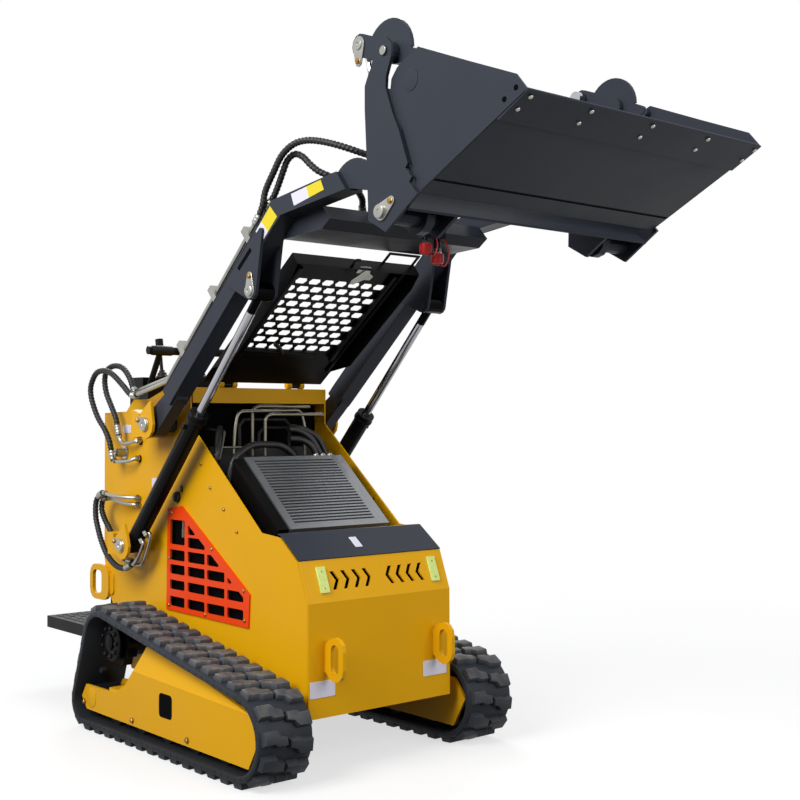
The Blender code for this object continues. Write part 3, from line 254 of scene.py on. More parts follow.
def swept(path, section, reference=X_AXIS, size=1.0):
    """A section, one or one for each point, carried along a path: point + side u + up v, where side is
    reference x tangent and up is tangent x side, both scaled by size."""
    path = np.asarray(path, float)
    tangent = unit(np.gradient(path, axis=0))
    side = unit(np.cross(reference, tangent))
    up = np.cross(tangent, side)
    section = np.asarray(section, float) * np.reshape(size, (-1, 1, 1))
    section = np.broadcast_to(section, (len(path), *section.shape[-2:]))
    points = path[:, None] + section[..., :1] * side[:, None] + section[..., 1:] * up[:, None]
    return points.reshape(-1, 3), capped(len(path), section.shape[1])


def pipe(points, radius, sides=10, spacing=0.006, reference=X_AXIS):
    """A smooth tube: a circle swept along the curve through the points."""
    return swept(smooth_line(points, spacing), circle(radius, sides), reference)


def bent(corners, reach, steps=6):
    """Straight runs whose corners b are rounded from that far back: (1 - t)^2 a + 2 t (1 - t) b + t^2 c."""
    corners = np.asarray(corners, float)
    t = np.linspace(0.0, 1.0, steps)[:, None]
    path = [corners[:1]]
    for a, b, c in zip(corners, corners[1:], corners[2:]):
        start, end = b + unit(a - b) * reach, b + unit(c - b) * reach
        path.append((1.0 - t) ** 2 * start + 2.0 * t * (1.0 - t) * b + t ** 2 * end)
    path.append(corners[-1:])
    return np.concatenate(path)


def teardrop(big, small, reach, corner=8):
    """Outline round two circles: big (cos a, sin a) on the far side, small (cos a, sin a) past the reach."""
    touch = math.acos((big - small) / reach)
    back = np.linspace(touch, TURN - touch, 2 * corner)
    nose = np.linspace(-touch, touch, corner)
    return np.concatenate([big * np.column_stack([np.cos(back), np.sin(back)]),
                           small * np.column_stack([np.cos(nose), np.sin(nose)]) + (reach, 0.0)])


def set_in(part, origin, x_axis, y_axis):
    """A part carried to a place: origin + x a + y b + z (a x b), for unit a and b."""
    points, faces = part
    turn = np.stack([x_axis, y_axis, np.cross(x_axis, y_axis)])
    return points @ turn + np.asarray(origin, float), faces


def aimed(part, origin, axis):
    """A part whose Z is turned to an axis."""
    axis = unit(np.asarray(axis, float))
    x = unit(np.cross(Z_AXIS if abs(axis[2]) < 0.9 else X_AXIS, axis))
    return set_in(part, origin, x, np.cross(axis, x))


def side_plate(outline, sign, face, levels=CARD):
    """Flat piece on the plane X = sign * face: its Y, Z outline put anticlockwise as seen from outside."""
    seen = np.array(outline, float) * (sign, 1.0)
    after = np.roll(seen, -1, axis=0)
    if np.sum(seen[:, 0] * after[:, 1] - after[:, 0] * seen[:, 1]) < 0.0:
        seen = seen[::-1]
    return set_in(plate(seen, levels), (sign * face, 0.0, 0.0), sign * Y_AXIS, Z_AXIS)


def on_side(part, sign, face, *places):
    """Copies of a part that look outwards from the plane X = sign * face, one at each Y, Z."""
    return joined([aimed(part, (sign * face, *place), sign * X_AXIS) for place in places])


def bolt(size):
    """A washer and a six-sided head with a chamfered top, in shares of the head's half width."""
    washer = turned(size * np.array(((1.25, 0.0), (1.25, 0.14), (1.15, 0.2))), 16)
    head = turned(size * np.array(((1.05, 0.19), (1.05, 0.75), (0.85, 0.92), (0.3, 0.95))), 6)
    return joined([washer, head])


def dome(radius, height, sides):
    """A low round head: quarter circle squashed to the height, open by a hair at its top."""
    a = np.linspace(0.0, 0.23 * TURN, 6)
    return turned(np.column_stack([radius * np.cos(a), height * np.sin(a)]), sides)


def bead(points, radius):
    """A weld bead: a round section whose size ripples with the distance along the seam."""
    step, ripple, ripple_length = 0.0022, 0.16, 0.0060
    path = smooth_line(points, step)
    size = 1.0 + ripple * np.cos(TURN * along(path) / ripple_length)
    reference = np.eye(3)[int(np.argmin(np.abs(path[-1] - path[0])))]
    return swept(path, circle(radius, 8), reference, size)


def piece(name, part, finish, body, angle=32.0, rim=None):
    """A part as a mesh object in a named finish, riding on a body; rim is the share of dust at each point."""
    points, faces = part
    data = bpy.data.meshes.new(name)
    data.from_pydata(points.tolist(), [], [face for block in faces for face in block.tolist()])
    data.shade_smooth()
    data.set_sharp_from_angle(angle=math.radians(angle))
    data.materials.append(FINISH[finish].material)
    if rim is not None:
        data.attributes.new("rim", "FLOAT", "POINT").data.foreach_set("value", rim.astype(np.float32))
    made = bpy.data.objects.new(name, data)
    bpy.context.collection.objects.link(made)
    if body:
        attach(made, body)
    return made


# finishes

def linear(colour, share=1.0):
    """Screen colour to light, by the standard curve with its straight foot, scaled towards black."""
    light = [c / 12.92 if c <= 0.04045 else ((c + 0.055) / 1.055) ** 2.4 for c in colour]
    return tuple(share * c for c in light) + (1.0,)


def noise(tree, where, scale, detail=3.0):
    """A noise texture on the given coordinates."""
    node = tree.nodes.new("ShaderNodeTexNoise")
    node.inputs["Scale"].default_value = scale
    node.inputs["Detail"].default_value = detail
    tree.links.new(where, node.inputs["Vector"])
    return node.outputs["Fac"]


def ranged(tree, value, low, high, to_low, to_high):
    """A value carried from one range to another."""
    node = tree.nodes.new("ShaderNodeMapRange")
    for name, number in (("From Min", low), ("From Max", high), ("To Min", to_low), ("To Max", to_high)):
        node.inputs[name].default_value = number
    tree.links.new(value, node.inputs["Value"])
    return node.outputs["Result"]


def mixed(tree, factor, first, second):
    """Blend of two colours, each a socket or a plain colour."""
    node = tree.nodes.new("ShaderNodeMix")
    node.data_type = "RGBA"
    tree.links.new(factor, node.inputs["Factor"])
    for socket, value in ((node.inputs["A"], first), (node.inputs["B"], second)):
        if isinstance(value, tuple):
            socket.default_value = value
        else:
            tree.links.new(value, socket)
    return node.outputs["Result"]


def worked(tree, operation, *values):
    """A Math node of that operation on sockets or numbers."""
    node = tree.nodes.new("ShaderNodeMath")
    node.operation = operation
    for socket, value in zip(node.inputs, values):
        if isinstance(value, (int, float)):
            socket.default_value = value
        else:
            tree.links.new(value, socket)
    return node.outputs["Value"]


def inside(tree, y, z, centre, radius):
    """One where (y - a)^2 + (z - b)^2 is below the radius squared."""
    dy = worked(tree, "SUBTRACT", y, centre[0])
    dz = worked(tree, "SUBTRACT", z, centre[1])
    reach = worked(tree, "ADD", worked(tree, "MULTIPLY", dy, dy), worked(tree, "MULTIPLY", dz, dz))
    return worked(tree, "LESS_THAN", reach, radius ** 2)


FINISH = {}


class Finish:
    """A material on Object coordinates, kept by its key and ready to be varied."""

    def __init__(self, key, name, colour, roughness, metallic=0.0, specular=0.5, coat=0.0):
        self.material = bpy.data.materials.new(name)
        self.material.use_nodes = True
        self.tree = self.material.node_tree
        self.shader = self.tree.nodes["Principled BSDF"]
        self.plain, self.colour = colour, linear(colour)
        self.roughness = roughness
        for socket, value in (("Base Color", self.colour), ("Roughness", roughness), ("Metallic", metallic),
                              ("Specular IOR Level", specular), ("Coat Weight", coat),
                              ("Coat Roughness", 0.18)):
            self.shader.inputs[socket].default_value = value
        self.where = self.tree.nodes.new("ShaderNodeTexCoord").outputs["Object"]
        split = self.tree.nodes.new("ShaderNodeSeparateXYZ")
        self.tree.links.new(self.where, split.inputs["Vector"])
        self.x, self.y, self.z = split.outputs
        FINISH[key] = self

    def tint(self, factor, other):
        """Mixes in a linear colour, or a share of the finish's own, by a factor socket."""
        if isinstance(other, float):
            other = linear(self.plain, other)
        self.colour = mixed(self.tree, factor, self.colour, other)
        self.tree.links.new(self.colour, self.shader.inputs["Base Color"])
        return self

    def mottle(self, scale, share, other):
        """Soft patches of a second colour."""
        patches = ranged(self.tree, noise(self.tree, self.where, scale), 0.35, 0.65, 0.0, share)
        return self.tint(patches, other)

    def shade_low_down(self, low, high, share, other):
        """Painted shade: a darker second colour below the low height, gone at the high one."""
        return self.tint(ranged(self.tree, self.z, low, high, share, 0.0), other)

    def dusty(self, other):
        """Dust where the mesh's rim attribute is high, broken up by noise; more on the upper run, which also
        paints the upper run lighter: painted light.
        """
        held = self.tree.nodes.new("ShaderNodeAttribute")
        held.attribute_name = "rim"
        patches = ranged(self.tree, noise(self.tree, self.where, 34.0), 0.38, 0.62, 0.25, 1.0)
        # height fade: real dust, and also painted light that makes the upper run brighter than the lower
        dust_and_light_by_height = ranged(self.tree, self.z, 0.12, 0.34, 0.12, 1.0)
        share = worked(self.tree, "MULTIPLY", patches, dust_and_light_by_height)
        return self.tint(worked(self.tree, "MULTIPLY", held.outputs["Fac"], share), other)

    def worn(self, scale, spread):
        """Roughness that drifts over the surface."""
        value = ranged(self.tree, noise(self.tree, self.where, scale), 0.3, 0.7,
                       self.roughness - spread, self.roughness + spread)
        self.tree.links.new(value, self.shader.inputs["Roughness"])
        return self

    def grain(self, scale, height):
        """Fine bump of that height in metres."""
        bump = self.tree.nodes.new("ShaderNodeBump")
        bump.inputs["Strength"].default_value = 0.6
        bump.inputs["Distance"].default_value = height
        self.tree.links.new(noise(self.tree, self.where, scale, 2.0), bump.inputs["Height"])
        self.tree.links.new(bump.outputs["Normal"], self.shader.inputs["Normal"])
        return self


# key, name, colour or the user's by name, roughness, metallic, specular; then, where there is any, the scale,
# share and second colour or shade of the mottle, scale and spread of the wear, scale and height of the grain
FINISHES = (
    ("yellow", "Yellow paint", "yellow", 0.34, 0.0, 0.14, (2.5, 0.2, 0.88), (9.0, 0.05), (260.0, 0.0002)),
    ("slate", "Slate paint", "slate", 0.36, 0.0, 0.09, (3.0, 0.3, 0.82), (7.0, 0.06), (320.0, 0.0002)),
    ("black", "Black paint", "black", 0.34, 0.0, 0.10, (4.0, 0.5, 0.7), (8.0, 0.06), (300.0, 0.0002)),
    ("orange", "Orange paint", "orange", 0.36, 0.0, 0.14, (4.0, 0.25, 0.88), None, (260.0, 0.0002)),
    ("iron", "Engine paint", (0.085, 0.085, 0.09), 0.5, 0.0, 0.25, (14.0, 0.6, (0.16, 0.16, 0.16)), None,
     (140.0, 0.0008)),
    ("hose", "Hose sleeve", (0.10, 0.10, 0.105), 0.42, 0.0, 0.35, (60.0, 0.5, (0.05, 0.05, 0.05)), None,
     None),
    ("chrome", "Chrome", (0.72, 0.72, 0.74), 0.14, 1.0, 0.5, None, (20.0, 0.04), None),
    ("zinc", "Zinc plate", (0.68, 0.68, 0.66), 0.30, 1.0, 0.5, (12.0, 0.4, (0.55, 0.53, 0.49)), (15.0, 0.08),
     None),
    ("pipe", "Steel pipe", (0.50, 0.48, 0.43), 0.32, 0.9, 0.5, (12.0, 0.5, (0.30, 0.28, 0.25)), None, None),
    ("bars", "Radiator bars", (0.60, 0.61, 0.62), 0.38, 0.25, 0.5, None, None, None),
    ("brass", "Passivated bolt", (0.62, 0.48, 0.24), 0.34, 1.0, 0.5, None, (30.0, 0.08), None),
    ("aluminium", "Bare aluminium", (0.60, 0.61, 0.62), 0.40, 0.85, 0.5, (7.0, 0.3, (0.48, 0.49, 0.51)), None,
     (500.0, 0.0003)),
    ("red", "Red cap", (0.80, 0.06, 0.07), 0.40, 0.0, 0.4, (30.0, 0.3, (0.6, 0.03, 0.03)), None, None),
    ("label", "Blank label", (0.86, 0.85, 0.90), 0.45, 0.0, 0.3, None, None, None),
    ("label_yellow", "Blank yellow label", (0.87, 0.79, 0.16), 0.45, 0.0, 0.3, None, None, None),
    ("dark", "Dark plastic", (0.045, 0.045, 0.050), 0.5, 0.0, 0.25, None, None, None),
    # flat near-black sheets: painted shade in holes, slots, gaps and openings
    ("painted_shade", "Dark lining", (0.020, 0.020, 0.022), 0.9, 0.0, 0.05, None, None, None),
)
# the node's material slot in the record, where its finish has another key
SLOT_FINISH = {"track_rubber": "rubber", "hose_rubber": "hose"}
# nodes with a finish of their own
NODE_FINISH = {"left_track_frame": "frame", "right_track_frame": "frame", "left_lift_rod": "rod",
               "right_lift_rod": "rod"}
# reach of the paint on the lift rod's upper eye
ROD_EYE = 0.085
# wheels in the track frame's node: middle and half width of their band, top of the rollers, front wheel
WHEEL_BAND, ROLLER_TOP, FRONT_WHEEL = (0.4285, 0.0555), 0.1585, 0.1112
WHEEL_BLACK = (0.10, 0.10, 0.11)


def make_finishes(looks):
    """Every finish of the machine."""
    for key, name, colour, roughness, metallic, specular, mottle, worn, grain in FINISHES:
        colour = tuple(getattr(looks, colour)) if isinstance(colour, str) else colour
        made = Finish(key, name, colour, roughness, metallic, specular)
        if mottle:
            scale, share, other = mottle
            made.mottle(scale, share, linear(other) if isinstance(other, tuple) else other)
        if worn:
            made.worn(*worn)
        if grain:
            made.grain(*grain)
    lime = Finish("lime", "Reflector face", (0.78, 0.86, 0.42), 0.25, coat=0.5)
    lime.mottle(160.0, 0.5, linear((0.90, 0.94, 0.60)))
    rubber = tuple(looks.rubber)
    lugs = Finish("rubber", "Belt rubber", tuple(1.25 * c for c in rubber), 0.50, specular=0.20)
    lugs.mottle(26.0, 0.4, linear(rubber, 0.7)).dusty(linear(tuple(looks.dust)))
    # painted shade: the lugs darken towards the bottom of the track
    lugs.shade_low_down(0.12, 0.34, 0.7, linear(rubber, 0.45)).worn(12.0, 0.1).grain(240.0, 0.0006)
    belt = Finish("belt", "Belt edge", rubber, 0.50, specular=0.15)
    # painted shade: the belt edge darkens towards the bottom of the track
    belt.mottle(6.0, 0.4, 0.6).shade_low_down(0.06, 0.34, 0.8, 0.35).worn(12.0, 0.1).grain(240.0, 0.0004)
    paint_frame(Finish("frame", "Frame paint", tuple(looks.yellow), 0.36, specular=0.14))
    rod = Finish("rod", "Lift rod chrome", (0.72, 0.72, 0.74), 0.14, 1.0)
    rod.tint(inside(rod.tree, rod.y, rod.z, LIFT_TOP, ROD_EYE), linear(tuple(looks.black))).worn(20.0, 0.04)


def paint_frame(finish):
    """Yellow, but dark between the side plates where the rollers and the front wheel are."""
    tree = finish.tree
    across = worked(tree, "COMPARE", worked(tree, "ABSOLUTE", finish.x), *WHEEL_BAND)
    low = worked(tree, "LESS_THAN", finish.z, ROLLER_TOP)
    front = inside(tree, finish.y, finish.z, WHEELS[0][:2], FRONT_WHEEL)
    wheels = worked(tree, "MULTIPLY", across, worked(tree, "MAXIMUM", low, front))
    finish.mottle(2.5, 0.2, 0.88).tint(wheels, linear(WHEEL_BLACK)).worn(9.0, 0.05).grain(260.0, 0.0002)


def dress_nodes():
    """Gives every CAD node its finish."""
    slots = {row["node"]: row["material_slot"] for row in frame["record"]["subparts"]}
    for name, node in frame["nodes"].items():
        slot = slots[name]
        finish = FINISH[NODE_FINISH.get(name, SLOT_FINISH.get(slot, slot))]
        if not node.material_slots:
            node.data.materials.append(finish.material)
        for place in node.material_slots:
            place.material = finish.material


# tracks

# belt: wheel circles as Y, Z, radius of the belt's outside; belt and its corners; drive wheel's hub
WHEELS = ((-0.340, 0.155, 0.135), (0.653, 0.100, 0.080), (0.535, 0.325, 0.115))
BELT_DEPTH, BELT_CORNER, BELT_STEPS = 0.022, 0.006, 320
HUB_CENTRE, HUB_FACE = (0.535, 0.325), 0.4702
HUB_BOLTS, HUB_BOLT_RADIUS, HUB_BOLT_LIFT = 9, 0.050, 0.010
# lug outline: distance in from the belt's edge, distance along the belt
LUG = ((0.008, -0.023), (0.046, -0.023), (0.058, -0.031), (0.097, -0.031), (0.097, -0.001), (0.072, 0.006),
       (0.060, 0.023), (0.008, 0.023))
# lug rings from foot to top: inset, depth below the lug's full height for the upper three, share of dust
LUG_RINGS = ((0.0034, 0.0020), (0.0042, 0.0008), (0.0062, 0.0))
LUG_DUST = (0.0, 0.0, 0.30, 1.0, 0.42)
SLIT_DEPTH = 0.012
# track frame: bolts, window with its width, height and corner radius, flush disc
FRAME_BOLTS = ((0.678, 0.094), (0.327, 0.087), (-0.031, 0.087))
FRAME_WINDOW, WINDOW_SIZE = (0.107, 0.172), (0.083, 0.080, 0.014)
AXLE_DISC = (0.626, 0.114)


def belt_line(count):
    """Path round the wheels: in each direction the farthest circle's point, then spaced evenly."""
    n = circle(1.0, 2880)
    wheels = np.array(WHEELS)
    far = np.argmax(n @ wheels[:, :2].T + wheels[:, 2], axis=1)
    points = wheels[far, :2] + n * wheels[far, 2:]
    points, n = np.vstack([points, points[:1]]), np.vstack([n, n[:1]])
    distance = along(points)
    steps = np.arange(count) * distance[-1] / count
    place, out = (np.column_stack([np.interp(steps, distance, values[:, k]) for k in (0, 1)])
                  for values in (points, n))
    return place, unit(out), distance[-1]


def build_tracks(looks):
    """Belt, staggered lugs and drive teeth of both tracks."""
    width, middle_x = TRACK_OUT - TRACK_IN, 0.5 * (TRACK_IN + TRACK_OUT)
    place, out, total = belt_line(BELT_STEPS)
    # belt section: X from the belt's middle, height from its outside
    section = rounded(width, BELT_DEPTH, BELT_CORNER, 3) - (0.0, BELT_DEPTH / 2)
    lug_place, lug_out, _ = belt_line(2 * round(total / looks.lug_pitch))
    top = looks.lug_height
    lug = plate(LUG, ((0.0, -0.004), (0.0, 0.002), *((inset, top - depth) for inset, depth in LUG_RINGS)))
    rim = np.repeat(LUG_DUST, len(LUG))
    tooth, slit = pressed("tooth"), pressed("slit")
    outward = np.column_stack([np.zeros(len(out)), out])
    for side, sign in SIDES:
        middle = sign * middle_x
        centre = np.column_stack([np.full(len(place), middle), place])
        points = centre[:, None] - section[None, :, :1] * X_AXIS + section[None, :, 1:] * outward[:, None]
        belt = (points.reshape(-1, 3), [wall(len(place), len(section), True)])
        piece(side + "_belt", belt, "belt", "chassis", 40.0)
        lugs, teeth, slits = [], [], []
        for i, (p, n) in enumerate(zip(lug_place, lug_out)):
            up = np.array((0.0, *n))
            edge_sign = 1.0 if i % 2 else -1.0
            x_axis = np.array((-edge_sign, 0.0, 0.0))
            edge = np.array((middle + edge_sign * width / 2, *p))
            lugs.append(set_in(lug, edge, x_axis, np.cross(up, x_axis)))
            if i % 2:
                root = np.array((middle, *p)) - up * BELT_DEPTH
                teeth.append(set_in(tooth, root, X_AXIS, np.cross(-up, X_AXIS)))
            face = np.array((middle + sign * (width / 2 + 0.0001), *(p - n * SLIT_DEPTH)))
            slits.append(set_in(slit, face, up, np.cross(sign * X_AXIS, up)))
        made = piece(side + "_lugs", joined(lugs), "rubber", "chassis", 24.0,
                     np.tile(rim, len(lugs)))
        piece(side + "_drive_teeth", joined(teeth), "belt", "chassis")
        # dark marks: painted shade in the slits of the belt's side
        piece(side + "_belt_slits", joined(slits), "dark", "chassis")
        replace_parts(made, side + "_track")


def build_hardware():
    """Bolts, hub rings, flush disc and a dark plate of painted shade in the window of both track frames."""
    hub = [lathe("hub")]
    for y, z in circle(HUB_BOLT_RADIUS, HUB_BOLTS):
        points, faces = bolt(0.008)
        hub.append((points + (y, z, HUB_BOLT_LIFT), faces))
    for side, sign in SIDES:
        bolts = on_side(bolt(0.0085), sign, FRAME_FACE, *FRAME_BOLTS)
        piece(side + "_frame_bolts", bolts, "brass", "chassis")
        # a dark plate: painted shade in the frame's window
        window = side_plate(rounded(*WINDOW_SIZE) + FRAME_WINDOW, sign, FRAME_FACE)
        piece(side + "_frame_window", window, "painted_shade", "chassis")
        piece(side + "_hub", on_side(joined(hub), sign, HUB_FACE, HUB_CENTRE), "black", "chassis")
        disc = on_side(lathe("axle_disc"), sign, FRAME_FACE, AXLE_DISC)
        piece(side + "_axle_disc", disc, "yellow", "chassis")


# body

# front: reflectors' X, labels' X, Z, width and height and the face below them, cover label's place and slope
REFLECTOR_X, REFLECTOR_SHARE, SCREW_SHIFT, SCREW_LIFT = (-0.226, 0.245), 0.52, 0.20, 0.0063
FRONT_LABELS, FRONT_Y = ((-0.246, 0.276, 0.100, 0.052), (0.230, 0.285, 0.106, 0.052)), -0.4118
COVER_LABEL, COVER_SLOPE = (-0.032, -0.310, 0.7165), np.array((0.0, 0.807, 0.590))
# how far the dark sheets of painted shade lie behind the slots of the front and of the side vents
FRONT_SHADE_DEPTH, VENT_SHADE_DEPTH = 0.014, 0.018
# sides: vent outline, bolts, plug and its tab, labels as width, height, corner radius, Y and Z
VENT = ((0.431, 0.800), (0.336, 0.814), (-0.093, 0.544), (-0.087, 0.432), (0.439, 0.437))
GUARD_FACE = BODY_HALF + 0.0063
GUARD_BOLTS = ((0.400, 0.785), (0.135, 0.676), (-0.060, 0.553), (-0.066, 0.455), (0.175, 0.447),
               (0.418, 0.455), (0.415, 0.625))
PANEL_BOLTS = ((0.215, 0.965), (0.155, 0.885), (0.070, 0.815), (-0.010, 0.745))
PLUG, PLUG_TAB = (0.371, 0.844), ((0.336, 0.862), (0.350, 0.862), (0.348, 0.886), (0.338, 0.886))
PANEL_LABELS = ((0.070, 0.030, 0.010, 0.738, 1.085), (0.060, 0.032, 0.003, 0.523, 0.889))
PIPE_HOLES = ((0.637, 1.039), (0.643, 0.974))
VENT_RODS, VENT_ROD_X = ((0.352, 0.700), (0.336, 0.700)), -(BODY_HALF - 0.0125)
EAR_SEAMS = (((0.600, 0.755), (0.655, 0.712)), ((0.508, 1.054), (0.508, 1.155)))
# pin, direction of the lock plate's bolt, radius and height of the pin's boss
EAR_KEEPERS = ((ARM_PIN, 0.30, (0.022, 0.008)), (LIFT_LOW, 0.30, (0.020, 0.008)))


def slanted(x, share, lift=0.0):
    """Point on the slanted front face: X, share of the way from the crease to the top, lift off the face."""
    rise = FACE_TOP - CREASE
    normal = unit(np.array((-rise[1], rise[0])))
    return np.array((x, *(CREASE + rise * share + normal * lift)))


def build_front():
    """Reflectors with their screws, blank labels and a dark sheet of painted shade behind the slots."""
    up = np.array((0.0, *unit(FACE_TOP - CREASE)))
    faces = [set_in(pressed("reflector"), slanted(x, REFLECTOR_SHARE, HAIR), X_AXIS, up) for x in REFLECTOR_X]
    screws = [set_in(lathe("screw"), slanted(x, REFLECTOR_SHARE + shift, SCREW_LIFT), X_AXIS, up)
              for x in REFLECTOR_X for shift in (-SCREW_SHIFT, SCREW_SHIFT)]
    piece("reflectors", joined(faces), "lime", "chassis")
    piece("reflector_screws", joined(screws), "brass", "chassis")
    labels = [set_in(plate(rounded(width, height, 0.004), CARD), (x, FRONT_Y, z), X_AXIS, Z_AXIS)
              for x, z, width, height in FRONT_LABELS]
    labels.append(set_in(pressed("cover_label"), COVER_LABEL, X_AXIS, unit(COVER_SLOPE)))
    piece("front_labels", joined(labels), "label", "chassis")
    # a dark sheet behind the front's slots: painted shade inside the body
    lining = set_in(pressed("front_lining"), slanted(0.0, 0.5, -FRONT_SHADE_DEPTH), X_AXIS, up)
    piece("front_lining", lining, "painted_shade", "chassis")


def build_body(looks):
    """Guard bolts, plugs, blank labels, dark sheets of painted shade behind the vents, lock plates and seams
    of the side panels.
    """
    build_front()
    face = BODY_HALF + HAIR
    for side, sign in SIDES:
        bolts = [on_side(bolt(0.0055), sign, GUARD_FACE, *GUARD_BOLTS),
                 on_side(bolt(0.0055), sign, face, *PANEL_BOLTS)]
        piece(side + "_panel_bolts", joined(bolts), "brass", "chassis")
        plug = [on_side(lathe("plug"), sign, face, PLUG),
                side_plate(PLUG_TAB, sign, face, ((0.0, 0.0), (0.001, 0.004)))]
        piece(side + "_plug", joined(plug), "dark", "chassis")
        labels = [side_plate(rounded(*size) + (y, z), sign, face) for *size, y, z in PANEL_LABELS]
        piece(side + "_panel_labels", joined(labels), "label", "chassis")
        # a dark sheet behind the side vent: painted shade inside the body
        piece(side + "_vent_lining", side_plate(VENT, sign, BODY_HALF - VENT_SHADE_DEPTH), "painted_shade", "chassis")
        seams = [bead(((sign * face, *low), (sign * face, *high)), looks.bead) for low, high in EAR_SEAMS]
        piece(side + "_ear_welds", joined(seams), "yellow", "chassis")
        fasten(side + "_ear", [keeper(pin, toward, sign, EAR_OUT, boss) for pin, toward, boss in EAR_KEEPERS],
               "chassis")
    # dark discs: painted shade in the open pipe holes
    piece("pipe_holes", on_side(lathe("pipe_hole"), -1.0, face, *PIPE_HOLES), "painted_shade", "chassis")
    rods = [aimed(lathe("vent_rod"), (VENT_ROD_X, y, z), Z_AXIS) for y, z in VENT_RODS]
    piece("vent_rods", joined(rods), "pipe", "chassis")


def keeper(pin, toward, sign, face, boss):
    """Lock plate and pin head, and the bolt at the plate's far end: teardrop and stepped discs."""
    radius, height = boss
    small, reach, bolt_reach, thick = 0.013, 0.048, 0.046, 0.0050
    ahead = np.array((math.cos(toward), math.sin(toward)))
    outline = teardrop(max(0.024, radius + 0.003), small, reach)
    outline = outline[:, :1] * ahead + outline[:, 1:] * (-ahead[1], ahead[0]) + pin
    lock = side_plate(outline, sign, face + HAIR, ((0.0, 0.0), (0.0, thick - 0.0010), (0.0010, thick)))
    top = height + 0.0035
    head = turned(((radius + 0.0012, 0.0), (radius + 0.0012, top - 0.002), (radius - 0.001, top),
                   (0.0070, top), (0.0050, top - 0.0025), (0.0015, top - 0.0025)), 28)
    stud = on_side(bolt(0.0070), sign, face + thick + HAIR, np.array(pin) + ahead * bolt_reach)
    return joined([lock, on_side(head, sign, face + HAIR, pin)]), stud


def fasten(name, keepers, body):
    """The plates of some keepers as one piece, and their bolts as another."""
    plates, studs = zip(*keepers)
    piece(name + "_keepers", joined(plates), "zinc", body)
    piece(name + "_keeper_bolts", joined(studs), "brass", body)


# engine bay

# radiator: depth of its core below its tanks, half of its width, width of the wide tank's flat, fittings' X
CORE_DEPTH, CORE_HALF, TANK_FLAT = 0.012, 0.182, 0.020
RADIATOR_BAR, BAR_LIFT = (0.0054, 0.0020), 0.0015
FITTING_X, FITTING_AXIS = (0.118, 0.150, 0.182), (0.0, 0.64, 0.77)
BAY_SHADE_PLACE = (0.0, 0.345, 1.005)
# reference directions for pipes that run near an axis
TILTED, SKEWED = (0.12, 0.16, 0.98), (-0.35, 0.80, 0.50)
# piece, finish, radius; then for each run its corners, how far back each bend starts, the section's reference
BAY_ROUTES = (
    ("bay_steel_pipes", "pipe", 0.0062, (
        (((-0.176, 0.200, 1.000), (-0.171, 0.200, 1.087), (-0.158, 0.200, 1.149), (0.118, 0.200, 1.155),
          (0.137, 0.200, 1.093), (0.137, 0.200, 0.990)), 0.024, Y_AXIS),
        (((-0.051, 0.185, 0.990), (-0.051, 0.185, 1.128), (-0.033, 0.185, 1.139), (0.214, 0.185, 1.140),
          (0.222, 0.335, 1.140)), 0.016, SKEWED),
        (((-0.079, 0.225, 0.990), (-0.079, 0.225, 1.156), (-0.057, 0.225, 1.168), (0.180, 0.225, 1.168),
          (0.188, 0.335, 1.168)), 0.014, SKEWED))),
    ("bay_steel_bars", "pipe", 0.0042, (
        (((-0.205, 0.330, 1.088), (-0.213, 0.200, 1.078), (-0.267, 0.150, 0.980)), 0.006, X_AXIS),
        (((-0.070, 0.195, 1.020), (-0.150, 0.195, 1.022), (-0.270, 0.200, 1.023)), 0.006, Z_AXIS))),
    ("bay_black_hoses", "hose", 0.0120, (
        (((0.040, 0.170, 1.086), (0.086, 0.170, 1.084), (0.140, 0.160, 1.050), (0.175, 0.150, 0.985)),
         0.030, Y_AXIS),
        (((0.060, 0.195, 1.092), (0.124, 0.195, 1.088), (0.190, 0.190, 1.055), (0.220, 0.180, 0.990)),
         0.030, Y_AXIS),
        (((0.030, 0.150, 1.052), (0.089, 0.150, 1.048), (0.130, 0.140, 1.022), (0.145, 0.135, 0.975)),
         0.024, Y_AXIS),
        (((-0.262, 0.100, 0.900), (-0.250, 0.090, 0.990), (-0.160, 0.110, 1.035), (-0.020, 0.120, 1.030),
          (0.030, 0.125, 0.990)), 0.040, TILTED),
        (((-0.275, 0.200, 0.880), (-0.270, 0.160, 0.990), (-0.245, 0.190, 1.070), (-0.200, 0.250, 1.090)),
         0.030, TILTED))),
)


